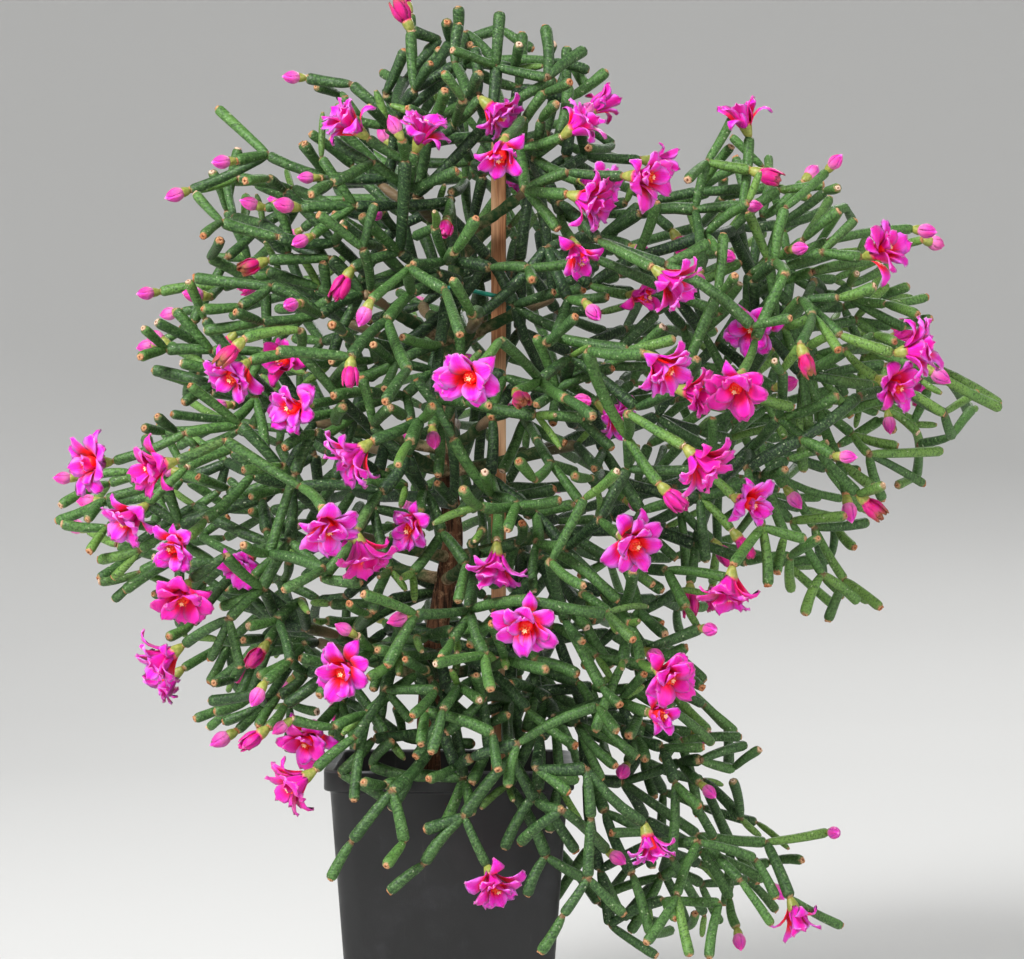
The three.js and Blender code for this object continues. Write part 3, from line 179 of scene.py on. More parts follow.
# The twigs on the photographed side, nearest first. The first row of a twig is the joint that it grows
# from. Each further row is the row it grows on, the photograph's u and v of its end, and for a flower its
# kind and the u and v of the flower's middle. A star is a large open bloom.
TWIGS = [
    [[437, 275], [0, 412, 292], [1, 387, 320], [2, 351, 357, "shut", 350, 382], [3, 277, 351], [2, 408, 370],
    [5, 385, 402]], [[445, 297], [0, 440, 345], [1, 402, 337], [1, 438, 400], [3, 438, 476], [3, 432, 427,
    "bud", 434, 442]], [[490, 476], [0, 497, 541, "star", 494, 574], [0, 460, 513], [0, 535, 513], [3, 537,
    543], [4, 534, 592], [4, 562, 546], [4, 618, 601]], [[500, 340], [0, 477, 371, "star", 470, 379]], [[505,
    377], [0, 491, 418], [0, 557, 390], [2, 536, 336], [2, 613, 368], [2, 536, 405], [2, 570, 402, "bud", 582,
    402], [2, 613, 449]], [[420, 420], [0, 372, 441, "star", 345, 462]], [[510, 702], [0, 483, 698], [1, 446,
    733], [1, 476, 675], [0, 512, 756], [4, 464, 816], [5, 424, 830], [5, 424, 864], [7, 389, 892], [5, 487,
    866, "bloom", 498, 888], [4, 536, 801], [10, 562, 810], [11, 520, 843], [11, 606, 850, "bud", 619, 858]],
    [[440, 730], [0, 392, 791], [1, 352, 841], [2, 330, 880], [1, 404, 842], [4, 386, 866]], [[418, 674], [0,
    368, 714], [1, 334, 727], [2, 292, 719, "bud", 276, 731], [1, 354, 801]], [[622, 782], [0, 698, 835], [1,
    740, 880], [2, 772, 925], [1, 766, 842], [4, 828, 832, "bud", 834, 831], [4, 790, 898, "bloom", 800, 928],
    [6, 842, 926]], [[582, 703], [0, 642, 725], [1, 627, 764, "bud", 622, 771], [1, 680, 741], [3, 741, 737],
    [3, 663, 760], [3, 698, 816]], [[698, 842], [0, 677, 895], [1, 690, 956], [1, 646, 943]], [[285, 478], [0,
    262, 500], [1, 266, 532], [2, 284, 549], [3, 253, 577]], [[232, 450], [0, 187, 467], [1, 147, 504, "star",
    126, 523]], [[240, 425], [0, 185, 433], [1, 114, 461, "star", 90, 462]], [[262, 588], [0, 229, 619], [1,
    184, 645, "star", 160, 663], [1, 240, 668], [1, 210, 660]], [[300, 487], [0, 322, 508, "star", 330, 531]],
    [[381, 492], [0, 357, 530, "star", 370, 568]], [[628, 413], [0, 684, 446, "star", 706, 470]], [[748, 468],
    [0, 762, 527], [1, 733, 565, "star", 730, 598], [1, 768, 586], [1, 806, 539]], [[748, 452], [0, 791, 521],
    [1, 846, 516], [1, 822, 574], [3, 805, 615], [3, 858, 602]], [[588, 350], [0, 644, 353, "star", 668,
    372]], [[598, 240], [0, 652, 267, "star", 690, 300]], [[640, 213], [0, 695, 210], [1, 707, 162], [2, 733,
    117], [2, 750, 170, "shut", 771, 178], [1, 742, 206, "bud", 757, 207], [5, 749, 137, "bloom", 738, 106],
    [1, 700, 272, "bud", 698, 284]], [[390, 178], [0, 330, 177], [1, 268, 155], [2, 190, 190, "bud", 175,
    196], [2, 217, 108], [2, 236, 161, "bud", 221, 163], [1, 320, 178, "bud", 303, 178]], [[490, 120], [0,
    496, 67], [1, 500, 12], [1, 452, 50], [1, 547, 78], [4, 545, 26], [4, 585, 50]], [[415, 90], [0, 411, 31,
    "shut", 400, 5], [0, 431, 63], [0, 455, 65], [3, 459, 24]], [[535, 600], [0, 530, 611, "star", 525, 628]],
    [[755, 340], [0, 742, 372, "star", 733, 391]], [[775, 296], [0, 762, 318, "star", 749, 331]], [[840, 335],
    [0, 893, 353, "star", 925, 346]], [[870, 348], [0, 925, 367, "bud", 942, 378], [1, 1000, 408]], [[818,
    408], [0, 852, 434], [1, 898, 446], [1, 869, 454], [3, 942, 451], [3, 883, 500], [3, 924, 484]], [[778,
    418], [0, 818, 452], [1, 858, 494, "shut", 884, 520], [2, 884, 485]], [[770, 335], [0, 801, 373], [1, 873,
    386], [1, 809, 434]], [[793, 325], [0, 820, 377], [1, 851, 417]], [[775, 330], [0, 768, 260], [1, 783,
    216], [1, 748, 212], [1, 788, 250, "bud", 801, 249]], [[780, 257], [0, 828, 241], [1, 912, 229, "bud",
    926, 232], [0, 803, 240], [3, 830, 198]], [[785, 268], [0, 822, 252], [1, 862, 257, "star", 885, 249]],
    [[775, 262], [0, 785, 208], [1, 826, 172, "bud", 836, 161]], [[780, 283], [0, 812, 272], [1, 874, 260,
    "bud", 889, 257]], [[850, 298], [0, 905, 328], [0, 886, 304], [2, 927, 297]], [[845, 350], [0, 877, 378,
    "bloom", 897, 389]], [[885, 365], [0, 888, 410, "bud", 889, 427], [1, 918, 433]], [[800, 300], [0, 812,
    315], [1, 838, 350], [1, 800, 345, "shut", 808, 368]], [[355, 737], [0, 315, 770, "star", 290, 788]],
    [[597, 648], [0, 637, 667], [1, 687, 647], [0, 585, 667]], [[622, 612], [0, 633, 571], [0, 645, 650,
    "bud", 655, 656], [2, 701, 628, "bud", 711, 629]], [[640, 662], [0, 655, 668, "star", 670, 678]], [[643,
    526], [0, 695, 544], [1, 690, 583, "shut", 690, 607], [0, 676, 559]], [[628, 438], [0, 659, 484, "shut",
    681, 506]], [[700, 498], [0, 706, 562], [0, 732, 530, "shut", 752, 556]], [[700, 470], [0, 733, 497,
    "bloom", 752, 505]], [[636, 408], [0, 675, 389, "bloom", 703, 395]], [[565, 385], [0, 597, 403, "bloom",
    622, 420]], [[470, 610], [0, 416, 614, "bud", 393, 621], [1, 363, 594], [1, 387, 666]], [[485, 655], [0,
    435, 664], [0, 491, 690]], [[533, 655], [0, 536, 690], [1, 510, 684], [1, 525, 731]], [[540, 738], [0,
    536, 769], [1, 569, 793]], [[548, 700], [0, 578, 724], [1, 602, 780], [1, 627, 747]], [[508, 785], [0,
    546, 856], [1, 584, 878], [1, 527, 896]], [[586, 768], [0, 591, 818], [1, 588, 878], [2, 624, 914], [2,
    563, 915], [4, 540, 953], [0, 644, 823, "bloom", 652, 853]], [[600, 870], [0, 610, 925], [1, 657, 956]],
    [[700, 850], [0, 730, 899], [1, 737, 928, "bud", 739, 942], [0, 765, 880, "bud", 777, 892], [0, 661, 877],
    [4, 630, 932]], [[680, 762], [0, 700, 760], [1, 746, 745], [1, 733, 769], [3, 760, 749], [0, 700, 783,
    "bud", 711, 793]], [[650, 728], [0, 692, 733, "bud", 706, 736], [0, 690, 706]], [[620, 700], [0, 648, 712,
    "bloom", 663, 714]], [[455, 262], [0, 490, 268], [1, 528, 268], [2, 532, 280]], [[514, 305], [0, 565,
    331]], [[547, 248], [0, 568, 299], [1, 608, 297], [1, 585, 302, "bud", 594, 314]], [[560, 213], [0, 572,
    240, "bloom", 581, 264]], [[525, 190], [0, 567, 194, "star", 596, 203]], [[535, 158], [0, 580, 180,
    "bloom", 606, 188]], [[568, 172], [0, 623, 176, "star", 650, 179]], [[520, 148], [0, 562, 137, "bloom",
    588, 116]], [[557, 138], [0, 568, 85]], [[398, 118], [0, 352, 84], [1, 306, 78, "bud", 290, 78]], [[405,
    160], [0, 368, 138, "star", 344, 120], [0, 402, 140, "bud", 393, 123]], [[408, 190], [0, 415, 152,
    "bloom", 426, 124]], [[455, 125], [0, 480, 98, "bloom", 503, 119]], [[522, 118], [0, 505, 138, "bloom",
    499, 162]], [[400, 205], [0, 355, 206], [1, 300, 208, "bud", 285, 206], [1, 312, 236, "bud", 299, 243]],
    [[395, 228], [0, 335, 207], [1, 265, 208, "bud", 248, 203], [0, 382, 212, "bud", 375, 217]], [[335, 243],
    [0, 278, 237], [1, 222, 222], [2, 195, 193], [2, 203, 236]], [[330, 258], [0, 268, 260, "shut", 245,
    270]], [[280, 274], [0, 222, 287], [1, 160, 292, "bud", 145, 294], [1, 210, 297, "bud", 195, 295]], [[320,
    315], [0, 262, 322], [1, 204, 331], [1, 235, 312], [0, 300, 303, "bud", 290, 306]], [[268, 352], [0, 212,
    351], [1, 166, 350], [2, 143, 328], [2, 140, 357]], [[300, 330], [0, 244, 339, "shut", 224, 360]], [[300,
    352], [0, 250, 361, "star", 234, 380]], [[250, 398], [0, 213, 385], [1, 152, 370], [1, 183, 403], [0, 232,
    405, "bud", 217, 406]], [[410, 268], [0, 371, 300, "bud", 362, 320]], [[400, 252], [0, 352, 268, "shut",
    335, 298]], [[330, 365], [0, 300, 362, "bloom", 281, 361]], [[340, 400], [0, 310, 405, "bloom", 290,
    409]], [[432, 370], [0, 405, 395], [1, 410, 421, "bud", 411, 435], [1, 355, 410]], [[315, 455], [0, 275,
    480], [1, 223, 502]], [[292, 485], [0, 290, 541], [1, 328, 576]], [[130, 472], [0, 78, 478, "bud", 60,
    478]], [[225, 440], [0, 177, 461, "star", 150, 468]], [[165, 483], [0, 106, 499], [1, 57, 521], [1, 87,
    520]], [[195, 505], [0, 138, 543]], [[180, 525], [0, 140, 550], [1, 113, 578], [1, 99, 560]], [[150, 505],
    [0, 107, 527], [1, 89, 552]], [[205, 520], [0, 187, 537, "bloom", 173, 548]], [[225, 555], [0, 190, 580,
    "star", 187, 600]], [[275, 545], [0, 255, 553, "bloom", 241, 568]], [[175, 560], [0, 124, 591]], [[300,
    600], [0, 277, 620], [1, 247, 626]], [[280, 625], [0, 268, 642, "shut", 256, 660]], [[290, 662], [0, 265,
    682, "bud", 257, 697]], [[258, 693], [0, 209, 701]], [[265, 705], [0, 237, 731, "bud", 220, 740], [0, 223,
    722]], [[285, 705], [0, 268, 728, "shut", 250, 742]], [[340, 702], [0, 318, 728, "bloom", 307, 742]],
    [[345, 665], [0, 337, 697, "bud", 335, 712]], [[400, 650], [0, 338, 668], [1, 319, 696], [1, 300, 658]],
    [[372, 650], [0, 357, 636, "bud", 339, 626], [0, 350, 664, "bloom", 343, 672]], [[562, 578], [0, 543,
    623]], [[424, 490], [0, 420, 512, "bloom", 408, 530]], [[600, 472], [0, 625, 500, "bud", 638, 506]],
    [[600, 520], [0, 620, 535, "bloom", 636, 546]], [[640, 205], [0, 672, 230, "shut", 683, 250]], [[600,
    238], [0, 630, 247, "bud", 645, 251]], [[590, 285], [0, 628, 295, "bloom", 647, 299]], [[705, 235], [0,
    718, 253, "bud", 730, 258]], [[750, 372], [0, 775, 388, "bud", 787, 384], [0, 785, 438]], [[800, 440], [0,
    833, 456, "bud", 850, 457]], [[838, 460], [0, 846, 495, "bud", 849, 512]], [[760, 440], [0, 785, 487,
    "bud", 796, 502]], [[540, 380], [0, 515, 392, "shut", 522, 401]], [[450, 200], [0, 447, 220, "shut", 445,
    232]],
]

# Shoots seen between the twigs, nearest first: the u and v of the end that they grow from, then of their tip
LOOSE_SHOOTS = [
    (463, 100, 443, 72), (468, 98, 480, 72), (465, 65, 470, 44), (450, 42, 447, 22), (434, 120, 445, 90),
    (513, 70, 519, 44), (548, 62, 553, 44), (545, 92, 570, 82), (541, 120, 557, 103), (418, 145, 403, 156),
    (412, 155, 431, 188), (332, 183, 311, 195), (268, 178, 245, 181), (320, 288, 267, 271),
    (400, 270, 362, 286), (240, 306, 202, 309), (265, 350, 244, 388), (255, 398, 232, 421),
    (272, 392, 252, 427), (175, 430, 157, 416), (165, 432, 144, 428), (445, 290, 460, 335),
    (410, 442, 398, 465), (315, 432, 284, 448), (557, 390, 581, 362), (557, 390, 553, 424),
    (565, 398, 593, 417), (603, 450, 594, 469), (850, 285, 857, 273), (838, 298, 875, 286),
    (875, 335, 895, 342), (804, 380, 804, 472), (762, 443, 773, 470), (785, 535, 777, 573),
    (385, 785, 363, 782), (456, 766, 428, 779), (400, 655, 377, 650), (720, 903, 709, 958),
]

# Tips whose stems run back into the crown out of sight: u and v
LOOSE_TIPS = [
    (475, 48), (323, 262), (340, 265), (385, 252), (314, 238), (198, 477), (243, 470), (250, 497),
    (385, 470), (363, 484), (437, 483), (617, 471), (613, 384), (555, 489), (463, 489), (574, 504),
    (596, 519), (507, 530), (575, 564), (584, 586), (653, 585), (663, 591), (633, 640), (587, 628),
    (662, 624), (441, 657), (687, 498), (617, 225), (735, 275), (740, 283), (791, 318), (820, 313),
    (729, 307), (697, 358), (828, 442), (860, 470), (412, 716), (504, 720), (493, 751), (498, 770),
    (472, 783), (508, 787), (471, 815), (606, 729), (617, 732), (594, 759), (607, 758), (620, 705),
    (702, 688), (705, 681), (700, 807), (645, 760), (676, 919), (396, 668), (373, 690), (283, 590),
    (220, 607), (243, 640), (168, 637), (153, 557), (153, 594), (243, 545), (226, 588), (214, 683),
    (214, 712), (258, 727), (258, 676), (322, 755), (332, 737), (421, 745), (431, 753), (450, 701),
    (532, 141), (465, 358), (452, 279), (485, 472), (348, 340), (805, 341), (786, 469), (250, 511),
]

# How the twigs are set in depth: shares of the crown's depth, and what each stem back from a tip takes off
SHARES = (1, 0.9, 0.8, 0.7, 0.6, 0.5, 0.4, 0.3, 0.2, 0.1, 0.03)
RANK_STEP = 0.17
# How the unseen back of the crown repeats them: its shifts in pixels, and the shares that it keeps
BACK_SHIFT_U = 30
BACK_SHIFT_V = 24
BACK_LOWEST_V = 790
CASCADE_LEFT_U = 560
CASCADE_TOP_V = 690
BACK_KEPT = 0.46
BACK_BLOOMS = 0.4
BACK_BUDS = 0.6
# Room round the pot in millimetres, and how flat a flower may lie to the picture
RIM_ROOM = 8
HANG_SPREAD = 26
POT_ROOM = 2.5
FLATTEST_FACING = 0.98
LEAST_FACING = 0.2
# How twigs are joined on: lengths, tries and sway of the path, and what counts against a joint
SHORTEST_LINK = 11
EASY_LINK = 24
LONG_LINK = 34
PATH_TRIES = 8
STRAIGHT_TRIES = 2
PATH_SWAY = 7
PATH_ARCH = 0.4
MOST_CANDIDATES = 40
MOST_KIDS = 3
LEAST_TURN = -0.2
OUTWARD_ROOM = 6
COST_KID = 9
COST_TURN = 12
COST_OUTWARD = 35
COST_LENGTH = 0.7
COST_CROWDING = 0.3
# How narrowly stems may part, and how thin they may get there
FORK_SHARE = 0.42
FORK_ROOM = 1.04
LEAST_FORK_RADIUS = 1.75
NARROWEST_FORK = 0.84
SHARPEST_BEND = -0.45

# Shoots that only the dressed plant has: how many, how long, how far forward and back as shares of the
# crown's depth, and the shares of them that carry a bud or are fresh
FILL_TRIES = 60000
FILL_MOST = 1700
FILL_LENGTHS = (16, 31)
FILL_FRONT = -0.8
FILL_INSIDE = 0.96
FILL_BUDS = 0.05
FILL_FRESH = 0.12
# A shoot's way is a mix of these shares: at random, outwards, and straight on from the stem it leaves.
FILL_RANDOM = 0.66
FILL_OUTWARD = 0.34
FILL_ONWARD = 0.7
FILL_FLATTER = 0.8
CROWN_HEART_Z = 230
FRESH_LENGTH = 0.62
# How far back a shoot may turn on its stem, and how narrowly it may part from another, as cosines
SHARPEST_SHOOT = 0.3
NARROWEST_SHOOT = 0.75
# Pixels between a shoot's tip and the crown's outline, and its highest and lowest place
OUTLINE_ROOM = 8
FILL_TOP_V = -10
FILL_FOOT_V = 940
# A loose tip's stem comes from the side of the crown's middle, so many pixels long and so far off.
MIDDLE_U = 510
MIDDLE_V = 520
LOOSE_LENGTH = 34
LOOSE_SWAY = 14
# How many of the nearest joints are tried for each square of the picture that is still open, how far
# past its middle a shoot goes and how far off it in depth, and how far back it may turn
REACH_JOINTS = 16
REACH_PAST = 6
REACH_SWAY = 16
REACH_SHARPEST = 0.8
# Where the picture shows the stake, the tie and the trunk: left, top, right and bottom in pixels
KEPT_OPEN = [(487, 120, 511, 262), (454, 276, 511, 300), (487, 300, 511, 362), (436, 482, 464, 506),
             (430, 556, 462, 580)]
# How many stems may be seen over one square before no more are added there: in general, for the share
# of the shoots that fill the back, and within so many pixels of the trunk
FILL_SEEN = 1.25
FILL_BACK_SEEN = 3.2
FILL_BACK_SHARE = 0.25
TRUNK_U = 455
FILL_HEART = 150
FILL_HEART_SEEN = 2.2
# Where the picture shows the crown closed over the lower stake and the pot's rim, and how closely
CLOSED = [((472, 366, 526, 760), 5), ((356, 590, 650, 770), 3.6)]
# The picture's squares: their size in pixels, how many each way, how many of them lie outside it, and in
# how many steps along a stem they are looked for
SQUARE = 14
SQUARES = 84
SQUARE_MARGIN = 10
SEEN_STEPS = 8


def add(a, b):
    return (a[0] + b[0], a[1] + b[1], a[2] + b[2])


def sub(a, b):
    return (a[0] - b[0], a[1] - b[1], a[2] - b[2])


def scale(a, s):
    return (a[0] * s, a[1] * s, a[2] * s)


def dot(a, b):
    return a[0] * b[0] + a[1] * b[1] + a[2] * b[2]


def along(a, d, s):
    return (a[0] + d[0] * s, a[1] + d[1] * s, a[2] + d[2] * s)


def size(a):
    return math.sqrt(dot(a, a))


def unit(a):
    return scale(a, 1 / size(a))


def distance(a, b):
    return size(sub(a, b))


def mix(a, b, t):
    return add(scale(a, 1 - t), scale(b, t))


def clamp(x, low, high):
    return min(max(x, low), high)


def cross(a, b):
    return (a[1] * b[2] - a[2] * b[1], a[2] * b[0] - a[0] * b[2], a[0] * b[1] - a[1] * b[0])


def thousandth(x):
    """Rounded to a thousandth, as in the solid model"""
    return math.floor(x * 1000 + 0.5) / 1000


def off_axis(p):
    """How far a point is from the plant's upright axis."""
    return math.sqrt(p[0] * p[0] + p[1] * p[1])


def across_of(d):
    """Two directions across a third."""
    first = unit(cross(d, (1, 0, 0) if abs(d[2]) > 0.9 else (0, 0, 1)))
    return first, cross(d, first)


def from_view(u, v, y):
    """The point at depth y that is seen at a place of the picture"""
    reach = (PIXEL_MM * (VIEW_DISTANCE + y)) / VIEW_DISTANCE
    return (VIEW_X + (u - VIEW_MIDDLE_U) * reach, y, VIEW_Z + (VIEW_MIDDLE_V - v) * reach)


def to_view(p):
    """Where a point is seen in the picture"""
    reach = (PIXEL_MM * (VIEW_DISTANCE + p[1])) / VIEW_DISTANCE
    return VIEW_MIDDLE_U + (p[0] - VIEW_X) / reach, VIEW_MIDDLE_V - (p[2] - VIEW_Z) / reach


def crown_row(v):
    """Left edge, right edge and half depth of the crown at one height of the picture."""
    row = 0
    while row < len(CROWN) - 2 and CROWN[row + 1][0] < v:
        row += 1
    low, high = CROWN[row], CROWN[row + 1]
    t = clamp((v - low[0]) / (high[0] - low[0]), 0, 1)
    return [low[i] + (high[i] - low[i]) * t for i in (1, 2, 3)]


def crown_depth(u, v):
    """Half depth of the crown where a line of sight meets it."""
    left, right, depth = crown_row(v)
    aside = clamp((u - (left + right) / 2) / ((right - left) / 2), -0.98, 0.98)
    return depth * math.sqrt(1 - aside * aside)


def stem_distance(p1, q1, p2, q2):
    """Shortest distance between two straight stems."""
    d1 = sub(q1, p1)
    d2 = sub(q2, p2)
    r = sub(p1, p2)
    a = dot(d1, d1)
    e = dot(d2, d2)
    f = dot(d2, r)
    c = dot(d1, r)
    b = dot(d1, d2)
    denominator = a * e - b * b
    s = clamp((b * f - c * e) / denominator, 0, 1) if denominator > 1e-6 else 0
    t = (b * s + f) / e
    if t < 0:
        t = 0
        s = clamp(-c / a, 0, 1)
    elif t > 1:
        t = 1
        s = clamp((b - c) / a, 0, 1)
    return distance(along(p1, d1, s), along(p2, d2, t))


def touches_pot(a, b, radius):
    keep = POT_RIM_HALF + radius + POT_ROOM
    for i in range(7):
        p = mix(a, b, i / 6)
        low = p[2] < POT_HEIGHT + radius + POT_ROOM
        if p[2] < radius + POT_ROOM or (low and abs(p[0]) < keep and abs(p[1]) < keep):
            return True
    return False


def is_open(kind):
    return kind in ("bloom", "star")


def flower_solids(kind, at, facing):
    """The solids that a flower takes up: its body, and five petals where it is open."""
    parts = []
    for start, end, radius in FLOWER_ROOM[kind]:
        parts.append((along(at, facing, start), along(at, facing, end), radius))
    if is_open(kind):
        e, f = across_of(facing)
        start, end, radius = PETAL_ROOM
        for c, s in FIFTHS:
            out = add(scale(e, c), scale(f, s))
            tip = along(along(at, facing, end), out, PETAL_REACH)
            parts.append((along(at, facing, start), tip, radius))
    return parts


def ranks_of(rows):
    """Rank 0 is a stem end, and each stem back from it adds one."""
    ranks = [0] * len(rows)
    for i in range(len(rows) - 1, 0, -1):
        ranks[rows[i][0]] = max(ranks[rows[i][0]], ranks[i] + 1)
    return ranks


def hangs_past_rim(point):
    """True for a point so low and so near the middle that it has to hang before or behind the pot"""
    return point[2] < POT_HEIGHT + RIM_ROOM and abs(point[0]) < POT_RIM_HALF + RIM_ROOM


def twig_points(rows, side, share, shift_u, shift_v):
    """The points of a twig at one share of the crown's depth. Side is -1 at the front and 1 at the back."""
    ranks = ranks_of(rows)
    points = []
    for i, row in enumerate(rows):
        u, v = (row[0], row[1]) if i == 0 else (row[1], row[2])
        depth = crown_depth(u + shift_u, v + shift_v) * share * (1 - RANK_STEP * ranks[i])
        if hangs_past_rim(from_view(u + shift_u, v + shift_v, side * depth)):
            depth = max(depth, POT_RIM_HALF + RIM_ROOM + HANG_SPREAD * share)
        point = from_view(u + shift_u, v + shift_v, side * depth)
        if i > 0:
            start = points[row[0]]
            dx = point[0] - start[0]
            dz = point[2] - start[2]
            flat = dx * dx + dz * dz
            if distance(point, start) < SHORTEST_STEM and flat < SHORTEST_STEM * SHORTEST_STEM:
                deep = math.sqrt(SHORTEST_STEM * SHORTEST_STEM - flat)
                point = from_view(u + shift_u, v + shift_v, start[1] + side * deep)
        points.append(point)
    return points


def flower_facing(row, at, side, shift_u, shift_v):
    """Which way a flower faces, from where its middle is seen"""
    middle = from_view(row[4] + shift_u, row[5] + shift_v, at[1])
    dx = middle[0] - at[0]
    dz = middle[2] - at[2]
    reach = FLOWER_REACH[row[3]]
    flat = math.sqrt(dx * dx + dz * dz)
    leans = flat < reach * FLATTEST_FACING
    deep = math.sqrt(reach * reach - flat * flat) if leans else reach * LEAST_FACING
    return unit((dx, side * deep, dz))


def fork_radius(ways, shortest):
    """How thick the stems that part at one joint can be where they part."""
    closest = -1
    for i, way in enumerate(ways):
        for other in ways[i + 1 :]:
            closest = max(closest, dot(way, other))
    half_tan = math.sqrt((1 - closest) / (1 + closest))
    reach = min(FORK_SHARE * shortest, (STEM_RADIUS * FORK_ROOM) / half_tan)
    return min(STEM_RADIUS, (reach * half_tan) / FORK_ROOM)


def forks_are_open(rows, points):
    """True where no two stems of a twig part too narrowly."""
    for i, point in enumerate(points):
        ends = [points[row[0]] if k == i else points[k]
                for k, row in enumerate(rows) if k > 0 and (row[0] == i or k == i)]
        if len(ends) > 2 or (i == 0 and len(ends) == 2):
            ways = [unit(sub(end, point)) for end in ends]
            shortest = min(distance(end, point) for end in ends)
            if not fork_radius(ways, shortest) >= LEAST_FORK_RADIUS:
                return False
    return True


def trunk_at(z):
    """The trunk's middle at one height"""
    row = 0
    while row < len(TRUNK_PATH) - 2 and TRUNK_PATH[row + 1][2] < z:
        row += 1
    low, high = TRUNK_PATH[row], TRUNK_PATH[row + 1]
    return mix(low, high, (z - low[2]) / (high[2] - low[2]))


def lateral_list():
    """Where each woody lateral leaves the trunk and where its tip is."""
    laterals = []
    for height, count, first_turn, full_reach, rise in LATERAL_LEVELS:
        for i in range(count):
            turn = ((first_turn + (360 * i) / count) * math.pi) / 180
            start = trunk_at(height + (i % 2) * LATERAL_STAGGER - LATERAL_DROP)
            out = (thousandth(math.cos(turn)), thousandth(math.sin(turn)), 0)
            reach = full_reach - (i % 3) * LATERAL_TRIM
            laterals.append((start, add(along(start, out, reach), (0, 0, rise))))
    return laterals


def tie_path():
    """The tie is a belt round the trunk and the stake."""
    trunk = trunk_at(TIE_Z)
    stake_reach = math.hypot(STAKE_WIDTH, STAKE_THICKNESS) / 2 + FIT + TIE_RADIUS
    ends = [(STAKE_X, STAKE_Y, stake_reach),
            (trunk[0], trunk[1], TRUNK_TOP_RADIUS + TIE_SLACK + FIT + TIE_RADIUS)]
    run = math.atan2(STAKE_Y - trunk[1], STAKE_X - trunk[0])
    path = []
    half = TIE_STEPS // 2
    for i in range(TIE_STEPS):
        x0, y0, radius = ends[0 if i < half else 1]
        part = (i % half) / (half - 1)
        angle = run + ((-0.5 if i < half else 0.5) + part) * math.pi
        x = thousandth(x0 + math.cos(angle) * radius)
        y = thousandth(y0 + math.sin(angle) * radius)
        path.append((x, y, TIE_Z + TIE_SLOPE * (y - STAKE_Y / 2)))
    return path


class Joint:
    """An end of a stem, where others grow on or a flower opens."""

    inward = flower = facing = None
    added = fresh = False

    def __init__(self, at, spray, closed):
        self.at = at
        self.spray = spray
        self.closed = closed
        self.kids = []


